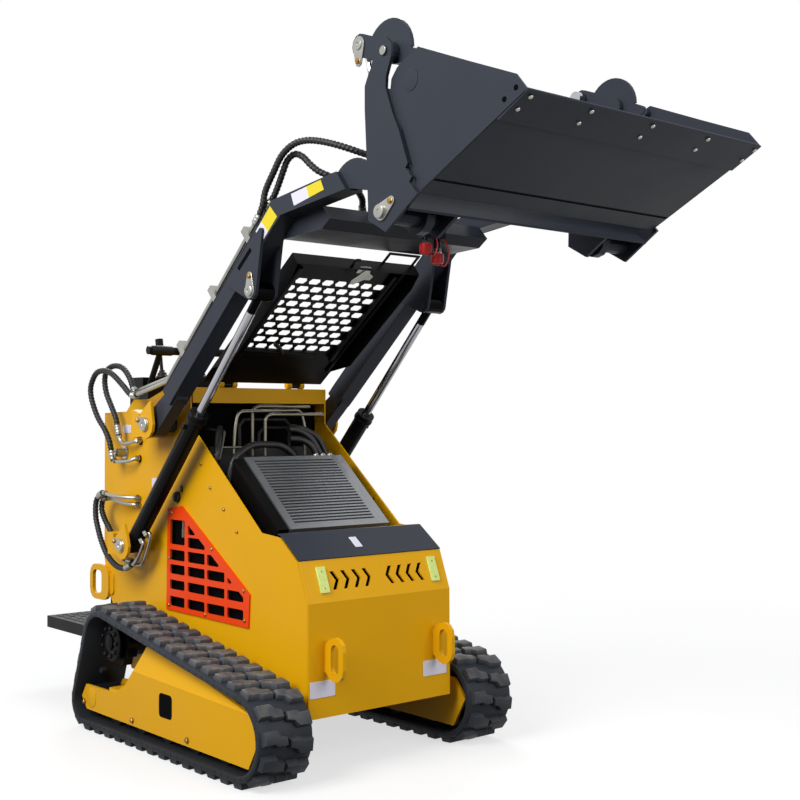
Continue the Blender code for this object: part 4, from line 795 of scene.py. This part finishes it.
def build_bay(looks):
    """Radiator bars, the flat of its wide tank, silver pipes and black hoses between the side panels."""
    top, low = np.array((0.0, *RAD_TOP)), np.array((0.0, *RAD_LOW))
    height = np.linalg.norm(low - top)
    down = (low - top) / height
    out = np.cross(down, X_AXIS)
    out *= np.sign(out[2])
    across = np.cross(out, X_AXIS)
    width = 2.0 * CORE_HALF - TANK_FLAT
    middle = top + down * height / 2 - out * CORE_DEPTH
    core_middle = middle - (TANK_FLAT / 2, 0.0, 0.0)

    # a dark plate under the bars: painted shade in the recessed core
    core = plate(rounded(width, height - 0.004, 0.002), ((0.0, 0.0), (0.0, 0.0010)))
    piece("radiator_core", set_in(core, core_middle + out * HAIR, X_AXIS, across), "painted_shade", "chassis")
    bar = plate(rounded(width, *RADIATOR_BAR, 3), ((0.0, 0.0), (0.0, 0.0008), (0.0014, 0.0020)))
    bars = [set_in(bar, core_middle + down * height * (share - 0.5) + out * BAR_LIFT, X_AXIS, across)
            for share in (np.arange(looks.fins) + 0.5) / looks.fins]
    piece("radiator_bars", joined(bars), "bars", "chassis")
    strip = plate(rounded(TANK_FLAT - 0.0005, height - 0.002, 0.001),
                  ((0.0, 0.0), (0.0, CORE_DEPTH - 0.0005), (0.0008, CORE_DEPTH - 0.0002)))
    flat = set_in(strip, middle + (CORE_HALF - TANK_FLAT / 2, 0.0, 0.0) + out * HAIR, X_AXIS, across)
    piece("radiator_tank_flat", flat, "aluminium", "chassis")
    fittings = [aimed(lathe("radiator_fitting"), top - out * 0.022 + (x, 0.002, 0.0), FITTING_AXIS)
                for x in FITTING_X]
    piece("radiator_fittings", joined(fittings), "zinc", "chassis")

    # a dark sheet behind the engine bay: painted shade where the bay is open
    piece("bay_backing", set_in(pressed("backing"), BAY_SHADE_PLACE, X_AXIS, Z_AXIS), "painted_shade", "chassis")
    for name, finish, radius, routes in BAY_ROUTES:
        runs = [swept(bent(corners, reach), circle(radius, 12), reference)
                for corners, reach, reference in routes]
        piece(name, joined(runs), finish, "chassis")


# hood: places as X, distance from the hinge, depth below the skin

SEAL_SECTION, SEALS = (0.014, 0.008, 0.003), (
    ((-0.238, 0.100, 0.0085), (-0.238, 0.676, 0.0085)), ((0.238, 0.100, 0.0085), (0.238, 0.676, 0.0085)),
    ((-0.229, 0.672, 0.0085), (0.229, 0.672, 0.0085)))
RIBS = (((0.020, 0.014, 0.003), ((-0.205, 0.175, 0.0125), (-0.205, 0.640, 0.0125))),
        ((0.020, 0.014, 0.003), ((0.205, 0.175, 0.0125), (0.205, 0.640, 0.0125))),
        ((0.022, 0.018, 0.003), ((-0.205, 0.212, 0.014), (0.109, 0.203, 0.014))))
STAY_LUG = ((-0.091, 0.256, 0.020), (-0.060, 0.235, 0.020), (-0.036, 0.206, 0.020))
# latch bracket as X and distance, its depth, its stud
LATCH_PLATE = ((0.014, 0.604), (0.028, 0.602), (0.058, 0.630), (0.082, 0.630), (0.086, 0.650), (0.062, 0.664),
               (0.056, 0.680), (0.042, 0.680), (0.010, 0.622))
LATCH_DEPTH, LATCH_STUD = 0.0318, (0.068, 0.652, 0.0322)
# piece, finish, radius, sides, points
HOOD_WIRES = (
    ("hood_hook", "dark", 0.0055, 10,
     ((-0.029, 0.680, 0.030), (-0.031, 0.700, 0.034), (-0.040, 0.722, 0.040), (-0.024, 0.728, 0.043))),
    ("hood_latch_wire", "zinc", 0.0022, 8,
     ((0.012, 0.684, 0.031), (0.006, 0.690, 0.036), (0.020, 0.696, 0.040), (0.046, 0.694, 0.038),
      (0.058, 0.684, 0.031))),
)


def on_hood(x, distance, depth):
    """Point on the open hood: X, distance from the hinge, depth below the skin."""
    a = unit(np.array(HOOD_DIR))
    below = np.array((-a[1], a[0]))
    below *= -np.sign(below[1])
    return np.array((x, *(np.array(HOOD_PIN) + a * distance + below * depth)))


def build_hood():
    """Rubber strips and ribs inside the hood's rim, the stay's lug, the latch's bracket, hook and wire."""
    rise = on_hood(0.0, 0.0, 0.0) - on_hood(0.0, 0.0, 1.0)
    lengthwise = on_hood(0.0, 1.0, 0.0) - on_hood(0.0, 0.0, 0.0)
    seals = [swept([on_hood(*end) for end in ends], rounded(*SEAL_SECTION), rise) for ends in SEALS]
    piece("hood_seal", joined(seals), "dark", "hood_lid")
    ribs = [swept([on_hood(*end) for end in ends], rounded(*section), rise) for section, ends in RIBS]
    ribs.append(pipe([on_hood(*point) for point in STAY_LUG], 0.008, 10, 0.01, rise))
    piece("hood_ribs", joined(ribs), "black", "hood_lid")
    bracket = set_in(plate(LATCH_PLATE, ((0.0, 0.0), (0.0, 0.0022), (0.0006, 0.0030))),
                     on_hood(0.0, 0.0, LATCH_DEPTH), X_AXIS, lengthwise)
    stud = aimed(dome(0.0065, 0.004, 16), on_hood(*LATCH_STUD), -rise)
    piece("hood_latch_plate", joined([bracket, stud]), "zinc", "hood_lid")
    for name, finish, radius, sides, points in HOOD_WIRES:
        wire = pipe([on_hood(*point) for point in points], radius, sides, 0.004, rise)
        piece(name, wire, finish, "hood_lid")


# arms

# middle line of the long arm, half its height at the weld beads, shares of the way where they pass
ARM_RUN, ARM_SEAM, SEAM_SHARES = ((0.2893, 1.1963), (-0.3705, 1.7773)), 0.033, (0.03, 0.35, 0.65, 0.95)
# blank labels on the arms' outsides, and the slot in the cylinder's bracket: corners
ARM_LABELS = (
    ("_arm_labels_yellow", "label_yellow", (
        ((-0.339, 1.786), (-0.378, 1.748), (-0.330, 1.707), (-0.292, 1.743)),
        ((-0.528, 1.8205), (-0.599, 1.831), (-0.616, 1.799), (-0.543, 1.785)))),
    ("_arm_labels_white", "label", (
        ((-0.292, 1.743), (-0.330, 1.707), (-0.298, 1.680), (-0.261, 1.715)),
        ((-0.450, 1.809), (-0.528, 1.8205), (-0.543, 1.785), (-0.466, 1.770)))),
)
SLOT_SHADE = ((-0.2535, 1.6545), (-0.2435, 1.6655), (-0.1720, 1.6075), (-0.1820, 1.5965))


def arm_face(x, share, offset):
    """Point on the long arm's side: X, share of the way up, height across it from its middle line."""
    low, high = np.array(ARM_RUN)
    a = unit(high - low)
    return np.array((x, *(low + (high - low) * share + np.array((a[1], -a[0])) * offset)))


def build_arms(looks):
    """Blank labels, pin keepers and weld beads of the lift arms."""
    for side, sign in SIDES:
        for name, finish, areas in ARM_LABELS:
            labels = [side_plate(area, sign, ARM_OUT + HAIR) for area in areas]
            piece(side + name, joined(labels), finish, "arms")
        # a dark plate: painted shade in the bracket's slot
        piece(side + "_bracket_slot", side_plate(SLOT_SHADE, sign, LIFT_BRACKET + HAIR), "painted_shade", "arms")
        fasten(side + "_lift", [keeper(LIFT_TOP, 0.25 * TURN, sign, LIFT_BRACKET, (0.018, 0.008))], "arms")
        fasten(side + "_bucket", [keeper(BUCKET_PIN, 2.60, sign, OUTER_PLATE, (0.018, 0.012))], "bucket")
        seams = [bead([arm_face(sign * face, share, offset) for share in SEAM_SHARES], looks.bead * 0.6)
                 for face in (ARM_OUT + HAIR, ARM_IN - 0.0005) for offset in (ARM_SEAM, -ARM_SEAM)]
        piece(side + "_arm_welds", joined(seams), "slate", "arms")


# hoses

# length of steel at each end, in metres
REAR_STEEL, LOWER_STEEL, ARM_STEEL = (0.004, 0.145), (0.190, 0.006), (0.004, 0.040)
STEEL_RADIUS, NUT_RADIUS, NUT_LENGTH, FERRULE = 0.0068, 0.0108, 0.014, 0.034
END_NUT_RADIUS, LONG_END = 0.0115, 0.03
REAR_HOSES = (
    ("rear_hose_outer", (
        (-0.378, 0.5256, 1.2118), (-0.378, 0.5450, 1.2079), (-0.380, 0.575, 1.214), (-0.383, 0.621, 1.245),
        (-0.386, 0.692, 1.287), (-0.386, 0.756, 1.304), (-0.386, 0.822, 1.297), (-0.386, 0.862, 1.259),
        (-0.384, 0.873, 1.222), (-0.380, 0.860, 1.177), (-0.372, 0.835, 1.126), (-0.364, 0.797, 1.082),
        (-0.358, 0.771, 1.038), (-0.354, 0.762, 1.000), (-0.350, 0.748, 0.966), (-0.338, 0.668, 0.965),
        (-0.322, 0.640, 0.975), (-0.3005, 0.640, 0.975))),
    ("rear_hose_middle", (
        (-0.352, 0.5666, 1.2258), (-0.352, 0.5830, 1.2226), (-0.352, 0.602, 1.236), (-0.352, 0.628, 1.274),
        (-0.352, 0.678, 1.312), (-0.352, 0.743, 1.323), (-0.352, 0.801, 1.309), (-0.351, 0.823, 1.272),
        (-0.349, 0.813, 1.221), (-0.346, 0.779, 1.170), (-0.343, 0.751, 1.126), (-0.341, 0.736, 1.082),
        (-0.339, 0.726, 1.048), (-0.336, 0.703, 1.031), (-0.332, 0.662, 1.034), (-0.320, 0.630, 1.042),
        (-0.3005, 0.630, 1.042))),
)
# the left side's lower hoses; the right side's are their mirror image
LOWER_HOSES = (
    ("_lower_hose_outer", (
        (0.3005, 0.640, 0.829), (0.320, 0.640, 0.829), (0.340, 0.662, 0.830), (0.358, 0.700, 0.832),
        (0.368, 0.750, 0.836), (0.372, 0.795, 0.842), (0.375, 0.840, 0.812), (0.378, 0.840, 0.753),
        (0.380, 0.816, 0.704), (0.382, 0.785, 0.660), (0.384, 0.735, 0.612), (0.384, 0.670, 0.580),
        (0.380, 0.612, 0.574), (0.374, 0.567, 0.592))),
    ("_lower_hose_inner", (
        (0.3005, 0.640, 0.803), (0.320, 0.640, 0.803), (0.335, 0.672, 0.806), (0.343, 0.730, 0.812),
        (0.346, 0.795, 0.824), (0.349, 0.835, 0.816), (0.351, 0.844, 0.780), (0.353, 0.820, 0.745),
        (0.354, 0.775, 0.706), (0.354, 0.737, 0.667), (0.352, 0.700, 0.622), (0.350, 0.655, 0.600),
        (0.350, 0.600, 0.594))),
)
ARM_HOSES = (
    ("arm_hose_long", (
        (-0.3760, -0.2225, 1.7455), (-0.3758, -0.2430, 1.7642), (-0.3725, -0.262, 1.800),
        (-0.370, -0.274, 1.845), (-0.370, -0.319, 1.899), (-0.368, -0.359, 1.944), (-0.362, -0.408, 1.971),
        (-0.350, -0.456, 1.978), (-0.335, -0.509, 1.970), (-0.312, -0.567, 1.952), (-0.270, -0.620, 1.928),
        (-0.200, -0.640, 1.908), (-0.130, -0.600, 1.880), (-0.095, -0.520, 1.828), (-0.067, -0.458, 1.792),
        (-0.0425, -0.458, 1.792))),
    ("arm_hose_short", (
        (-0.3500, -0.2505, 1.7925), (-0.3498, -0.2720, 1.8117), (-0.347, -0.292, 1.834),
        (-0.345, -0.312, 1.866), (-0.345, -0.337, 1.905), (-0.342, -0.355, 1.935), (-0.335, -0.384, 1.950),
        (-0.325, -0.412, 1.938), (-0.315, -0.437, 1.912), (-0.300, -0.463, 1.888), (-0.270, -0.491, 1.870),
        (-0.200, -0.500, 1.850), (-0.120, -0.450, 1.828), (-0.090, -0.416, 1.797), (-0.067, -0.402, 1.777),
        (-0.0425, -0.402, 1.777))),
)
# steel elbows from the lower hoses to the barrel: first points, X at the port, lift off it, shift of its foot
LIFT_ELBOWS = (
    (((0.374, 0.567, 0.592), (0.372, 0.545, 0.601)), 0.368, 0.020, 0.0),
    (((0.350, 0.600, 0.594), (0.350, 0.560, 0.590), (0.352, 0.520, 0.610)), 0.355, 0.022, 0.006),
)
# the ports' distances along the barrel, and their depth below its middle line
LIFT_PORTS, PORT_DROP = (0.060, 0.100), 0.031


def cut_line(path, start, end):
    """The stretch of a path between two distances."""
    steps = np.linspace(start, end, max(6, int((end - start) / 0.0022)))
    return np.column_stack([np.interp(steps, along(path), path[:, k]) for k in range(3)])


def sleeved(path, radius):
    """A hose in a spiral sleeve: the radius swells by 6% where turn + distance lands on the wrap."""
    sides, swell, wrap = 12, 0.06, 0.013
    phase = TURN * np.arange(sides) / sides + TURN * along(path)[:, None] / wrap
    size = radius * (1.0 - swell + swell * np.clip(3.0 * np.sin(phase), -1.0, 1.0))
    return swept(path, size[..., None] * circle(1.0, sides))


def fitting(path, start, radius):
    """A crimped ferrule round the hose's end: a tube whose radius steps in three rings."""
    run = cut_line(path, start, start + FERRULE)
    share = np.linspace(0.0, 1.0, len(run))
    return swept(run, circle(1.0, 14), X_AXIS, radius * (1.16 + 0.07 * np.sign(np.sin(3.0 * TURN * share))))


def hex_nut(path, distance, radius):
    """A six-sided nut round a steel tube."""
    return swept(cut_line(path, distance, distance + NUT_LENGTH), circle(radius, 6))


def hose(name, points, steel, looks, body):
    """One hose in its CAD node's place: sleeve, then ferrules, bent tubes and nuts. Returns both pieces."""
    path = smooth_line(points, 0.003)
    total = along(path)[-1]
    first, last = steel[0], total - steel[1]
    sleeve = sleeved(cut_line(path, max(first - 0.010, 0.0), min(last + 0.010, total)), looks.hose_radius)
    metal = []
    for start, end, ferrule, nut, end_nut in ((0.0, first, first, first - 0.020, 0.006),
                                              (last, total, last - FERRULE, last, total - 0.022)):
        if end - start > 0.010:
            metal.append(swept(cut_line(path, start, end), circle(STEEL_RADIUS, 12)))
            metal.append(hex_nut(path, nut, NUT_RADIUS))
        metal.append(fitting(path, ferrule, looks.hose_radius))
        if end - start > LONG_END:
            metal.append(hex_nut(path, end_nut, END_NUT_RADIUS))
    made = piece(name + "_sleeve", sleeve, "hose", body)
    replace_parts(made, name)
    return made, piece(name + "_ends", joined(metal), "zinc", body)


def build_hoses(looks):
    """Hoses in their sleeves with steel ends; the arm hoses ride on the arms and the lift ports on the
    barrels, the others stay in place.
    """
    for name, points in REAR_HOSES:
        for each in hose(name, points, REAR_STEEL, looks, None):
            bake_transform(each)
    foot = np.array(LIFT_LOW)
    axis = unit(np.array(LIFT_TOP) - foot)
    under = np.array((-axis[1], axis[0]))
    under *= -np.sign(under[1])
    for side, sign in SIDES:
        barrel = side + "_lift_cylinder"
        for tail, points in LOWER_HOSES:
            for each in hose(side + tail, np.array(points) * (sign, 1.0, 1.0), LOWER_STEEL, looks, None):
                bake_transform(each)
        tubes, bosses = [], []
        for distance, (points, x, lift, shift) in zip(LIFT_PORTS, LIFT_ELBOWS):
            port = foot + axis * distance + under * PORT_DROP
            route = (*points, (x, *(port + under * lift)), (LIFT_X - shift, *(port - under * 0.004)))
            tubes.append(pipe(np.array(route) * (sign, 1.0, 1.0), 0.0072))
            bosses.append(aimed(lathe("port_boss"), (sign * LIFT_X, *port), (0.0, *under)))
        piece(side + "_lift_ports", joined(tubes + bosses), "zinc", barrel)
    for name, points in ARM_HOSES:
        hose(name, points, ARM_STEEL, looks, "arms")


def build_cylinders():
    """Gland rings and oil ports of the lift cylinders."""
    for side, sign in SIDES:
        start, end = np.array((sign * LIFT_X, *LIFT_LOW)), np.array((sign * LIFT_X, *LIFT_TOP))
        axis, out = unit(end - start), sign * X_AXIS
        ring = aimed(lathe("gland_ring"), start + axis * (LIFT_BARREL - 0.020), axis)
        port = aimed(lathe("gland_port"), start + axis * (LIFT_BARREL - 0.060) + out * 0.030, out)
        piece(side + "_lift_gland", joined([ring, port]), "black", side + "_lift_cylinder")


# bucket

# floor, by distance back from the lip: bolts' X, rows and lift, stitch welds, rear seam
EDGE_BOLT_X, EDGE_BOLT_ROWS, EDGE_BOLT_LIFT = (-0.460, -0.238, 0.006, 0.2485, 0.471), (0.015, 0.063), 0.0063
STITCH_ROW, STITCH_LIFT, STITCH_LENGTH, STITCH_X = 0.1135, 0.0012, 0.15, np.arange(-0.45, 0.35, 0.18)
REAR_SEAM = 0.369
# clam's side: bare holes, disc, face of the pin's head
CLAM_HOLES, CLAM_DISC, CLAM_PIN_FACE = ((-1.483, 1.916), (-1.444, 1.895)), (-1.100, 2.012), 0.5043
# welds on the bucket's sides: piece, body, face, points
SIDE_WELDS = (("_clam_welds", "clam", 0.4845, ((-1.510, 1.9015), (-1.330, 1.8105), (-1.145, 1.7165))),
              ("_blade_welds", "bucket", 0.4895,
               ((-0.966, 1.990), (-0.976, 1.880), (-1.012, 1.782), (-1.050, 1.716))))


def build_bucket(looks):
    """Cutting edge bolts, weld beads, keepers and seams of the bucket."""
    lip, heel = np.array((0.0, *LIP)), np.array((0.0, *HEEL))
    back = unit(heel - lip)
    down = np.cross(back, X_AXIS)
    down *= -np.sign(down[2])

    def on_floor(x, distance, lift):
        """Point under the floor: X, distance back from the lip, lift off the face."""
        return lip + back * distance + down * lift + (x, 0.0, 0.0)

    heads = [aimed(dome(0.0066, 0.0030, 14), on_floor(x, row, EDGE_BOLT_LIFT + HAIR), down)
             for x in EDGE_BOLT_X for row in EDGE_BOLT_ROWS]
    piece("edge_bolts", joined(heads), "zinc", "clam")
    stitches = [bead([on_floor(end, STITCH_ROW, STITCH_LIFT) for end in (x, x + STITCH_LENGTH)],
                     looks.bead * 0.8) for x in STITCH_X]
    piece("edge_welds", joined(stitches), "slate", "clam")
    # a dark strip: painted shade in the gap between the floor and the heel plate
    seam = set_in(pressed("clam_seam"), on_floor(0.0, REAR_SEAM, HAIR), X_AXIS, np.cross(down, X_AXIS))
    piece("clam_seam", seam, "painted_shade", "clam")
    face = CLAM_SIDE + HAIR
    for side, sign in SIDES:
        # dark discs: painted shade in the clam's holes
        piece(side + "_clam_holes", on_side(lathe("clam_hole"), sign, face, *CLAM_HOLES), "painted_shade", "clam")
        piece(side + "_clam_disc", on_side(lathe("clam_disc"), sign, face, CLAM_DISC), "slate", "clam")
        for name, body, x, points in SIDE_WELDS:
            piece(side + name, bead([(sign * x, y, z) for y, z in points], looks.bead), "slate", body)
        fasten(side + "_crank", [keeper(CRANK_PIN, -0.25 * TURN, sign, CRANK_PLATE, (0.014, 0.006))], "clam")
        head = on_side(lathe("clam_pin"), sign, CLAM_PIN_FACE, CLAM_PIN)
        piece(side + "_clam_pin_head", head, "zinc", "bucket")


# dust caps on the coupler: their places, and the cord's points from a cap
DUST_CAPS = ((0.040, -0.578, 1.6834), (0.090, -0.578, 1.6554))
CAP_CORD = ((0.004, -0.006, -0.037), (0.014, -0.022, -0.040), (0.026, -0.027, -0.010), (0.020, -0.026, 0.020),
            (0.010, -0.0215, 0.044))


def build_coupler():
    """Two dust caps that hang from the coupler, their cords and the steel necks."""
    caps, necks = [], []
    for spot in DUST_CAPS:
        caps += [aimed(lathe("dust_cap"), spot, -Z_AXIS), pipe(np.array(CAP_CORD) + spot, 0.0020, 8, 0.004)]
        necks.append(aimed(lathe("neck"), spot, -Z_AXIS))
    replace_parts(piece("dust_caps", joined(caps), "red", "arms"), "coupler_caps")
    piece("coupler_necks", joined(necks), "zinc", "arms")


# rear

GRIP, BOOT_X, BOOT, BOOT_AXIS = (0.130, 0.700, 1.385), (-0.090, 0.090), (0.8405, 1.2855), (0.0, 0.16, 0.98)
# tread studs: rows and columns, first stud, width and depth of the field, lift
TREAD_ROWS, TREAD_COLUMNS, TREAD_START, TREAD_FIELD, TREAD_Z = 16, 14, (-0.215, 0.975), (0.430, 0.520), 0.2823


def build_rear():
    """Grips, lever boots and the platform's tread."""
    x, y, z = GRIP
    grips = [aimed(lathe("grip"), (sign * x, y, z), (sign, 0.0, 0.0)) for sign in (-1.0, 1.0)]
    piece("bar_grips", joined(grips), "dark", "chassis")
    boots = [aimed(lathe("boot"), (x, *BOOT), BOOT_AXIS) for x in BOOT_X]
    piece("lever_boots", joined(boots), "dark", "chassis")
    stud, studs = pressed("tread_stud"), []
    for row in range(TREAD_ROWS):
        for column in range(TREAD_COLUMNS):
            place = (TREAD_START[0] + TREAD_FIELD[0] * column / (TREAD_COLUMNS - 1),
                     TREAD_START[1] + TREAD_FIELD[1] * row / (TREAD_ROWS - 1), TREAD_Z)
            turn = 0.125 * TURN * (1 if (row + column) % 2 else -1)
            x_axis = np.array((math.cos(turn), math.sin(turn), 0.0))
            studs.append(set_in(stud, place, x_axis, np.cross(Z_AXIS, x_axis)))
    piece("platform_tread", joined(studs), "black", "chassis")


# stage

# place, power in watts and width of the lamps, and what they aim at
LAMPS = (("key", (-4.6, -0.8, 3.9), 306.0, 3.2), ("front", (1.2, -5.4, 2.8), 136.0, 3.2),
         ("back", (3.0, 4.2, 4.6), 170.0, 2.8))
LAMP_TARGET = (0.0, -0.2, 0.9)
# floor's half width, its grey for light and its white for the camera, and where the plain white sets in
FLOOR_REACH, FLOOR_GREY, FLOOR_WHITE, FLOOR_FADE = 30.0, 0.28, 0.98, (1.2, 4.5, 0.64, 1.0)
WORLD_COLOUR, WORLD_STRENGTH = (0.94, 0.97, 1.0, 1.0), 0.37
LENS, SENSOR = 57.29, 36.0
CAMERA_PLACE, CAMERA_TURN = (-2.6777, -3.5987, 1.1225), (90.855, 0.0, -40.812)


def white_to_camera(tree, shader, share):
    """Mixes plain white light into a shader for the rays that draw the backdrop."""
    paths = tree.nodes.new("ShaderNodeLightPath")
    seen = worked(tree, "MAXIMUM", paths.outputs["Is Camera Ray"], paths.outputs["Is Glossy Ray"])
    mix = tree.nodes.new("ShaderNodeMixShader")
    glow = tree.nodes.new("ShaderNodeEmission")
    glow.inputs["Color"].default_value = (1.0, 1.0, 1.0, 1.0)
    for out, socket in zip((worked(tree, "MULTIPLY", seen, share), shader, glow.outputs[0]), mix.inputs):
        tree.links.new(out, socket)
    return mix.outputs[0]


def added(name, data):
    """A new object in the scene."""
    made = bpy.data.objects.new(name, data)
    bpy.context.collection.objects.link(made)
    return made


def build_stage():
    """Pale floor, pale world, soft lamps and the camera."""
    data = bpy.data.meshes.new("floor")
    corners = ((-1, -1), (1, -1), (1, 1), (-1, 1))
    data.from_pydata([(FLOOR_REACH * x, FLOOR_REACH * y, 0.0) for x, y in corners], [], [(0, 1, 2, 3)])
    paper = Finish("floor", "Floor", (FLOOR_GREY,) * 3, 0.9, specular=0.0)
    tree = paper.tree
    paper.tint(tree.nodes.new("ShaderNodeLightPath").outputs["Is Camera Ray"], linear((FLOOR_WHITE,) * 3))
    far = tree.nodes.new("ShaderNodeVectorMath")
    far.operation = "LENGTH"
    tree.links.new(paper.where, far.inputs[0])
    share = ranged(tree, far.outputs["Value"], *FLOOR_FADE)
    surface = next(node for node in tree.nodes if node.type == "OUTPUT_MATERIAL").inputs["Surface"]
    tree.links.new(white_to_camera(tree, paper.shader.outputs[0], share), surface)
    data.materials.append(paper.material)
    added("floor", data)

    scene = bpy.context.scene
    scene.world = bpy.data.worlds.new("Studio")
    scene.world.use_nodes = True
    tree = scene.world.node_tree
    shade = tree.nodes["Background"]
    shade.inputs["Color"].default_value = WORLD_COLOUR
    shade.inputs["Strength"].default_value = WORLD_STRENGTH
    tree.links.new(white_to_camera(tree, shade.outputs[0], 1.0), tree.nodes["World Output"].inputs["Surface"])

    for name, place, power, size in LAMPS:
        data = bpy.data.lights.new(name, "AREA")
        data.energy = power
        data.size = size
        lamp = added(name, data)
        lamp.location = place
        lamp.rotation_euler = (Vector(LAMP_TARGET) - Vector(place)).to_track_quat("-Z", "Y").to_euler()

    data = bpy.data.cameras.new("camera")
    data.lens = LENS
    data.sensor_width = SENSOR
    camera = added("camera", data)
    camera.location = CAMERA_PLACE
    camera.rotation_euler = tuple(math.radians(angle) for angle in CAMERA_TURN)
    scene.camera = camera
    scene.view_settings.view_transform = "Standard"


# operators

class LOADER_OT_stage(Operator):
    """Floor, world, lamps and camera"""
    bl_idname = "loader.stage"
    bl_label = "Stage"

    def execute(self, context):
        build_stage()
        return {"FINISHED"}


class LOADER_OT_finishes(Operator):
    """Finishes, and the CAD nodes dressed in them"""
    bl_idname = "loader.finishes"
    bl_label = "Finishes"

    def execute(self, context):
        make_finishes(context.scene.loader)
        dress_nodes()
        return {"FINISHED"}


class LOADER_OT_tracks(Operator):
    """Belts with lugs and drive teeth, and the frames' hardware"""
    bl_idname = "loader.tracks"
    bl_label = "Tracks"

    def execute(self, context):
        build_tracks(context.scene.loader)
        build_hardware()
        return {"FINISHED"}


class LOADER_OT_body(Operator):
    """Trim of the body panels and the rear"""
    bl_idname = "loader.body"
    bl_label = "Body trim"

    def execute(self, context):
        build_body(context.scene.loader)
        build_rear()
        return {"FINISHED"}


class LOADER_OT_bay(Operator):
    """Radiator bars, pipes and hoses of the engine bay, and the hood's trim"""
    bl_idname = "loader.bay"
    bl_label = "Engine bay and hood"

    def execute(self, context):
        build_bay(context.scene.loader)
        build_hood()
        return {"FINISHED"}


class LOADER_OT_arms(Operator):
    """Labels, keepers and welds of the arms, glands and dust caps"""
    bl_idname = "loader.arms"
    bl_label = "Arms"

    def execute(self, context):
        build_arms(context.scene.loader)
        build_cylinders()
        build_coupler()
        return {"FINISHED"}


class LOADER_OT_hoses(Operator):
    """Hydraulic hoses and their fittings"""
    bl_idname = "loader.hoses"
    bl_label = "Hoses"

    def execute(self, context):
        build_hoses(context.scene.loader)
        return {"FINISHED"}


class LOADER_OT_bucket(Operator):
    """Bolts, welds and keepers of the bucket"""
    bl_idname = "loader.bucket"
    bl_label = "Bucket"

    def execute(self, context):
        build_bucket(context.scene.loader)
        return {"FINISHED"}


class LOADER_PT_panel(Panel):
    """Lists the sizes, the colours and the operators"""
    bl_label = "Tracked loader"
    bl_idname = "LOADER_PT_panel"
    bl_space_type = "VIEW_3D"
    bl_region_type = "UI"
    bl_category = "Loader"

    def draw(self, context):
        looks = context.scene.loader
        for name in LoaderLooks.__annotations__:
            self.layout.prop(looks, name)
        for operator in OPERATORS:
            self.layout.operator(operator.bl_idname)


OPERATORS = (LOADER_OT_finishes, LOADER_OT_stage, LOADER_OT_tracks, LOADER_OT_body, LOADER_OT_bay,
             LOADER_OT_arms, LOADER_OT_hoses, LOADER_OT_bucket)
CLASSES = (LoaderLooks, *OPERATORS, LOADER_PT_panel)


def register():
    for each in CLASSES:
        bpy.utils.register_class(each)
    bpy.types.Scene.loader = PointerProperty(type=LoaderLooks)


def unregister():
    del bpy.types.Scene.loader
    for each in reversed(CLASSES):
        bpy.utils.unregister_class(each)


def main():
    register()
    loader = bpy.ops.loader
    for operator in (loader.finishes, loader.stage, loader.tracks, loader.body, loader.bay, loader.arms,
                     loader.hoses, loader.bucket):
        operator()


if __name__ == "__main__":
    main()
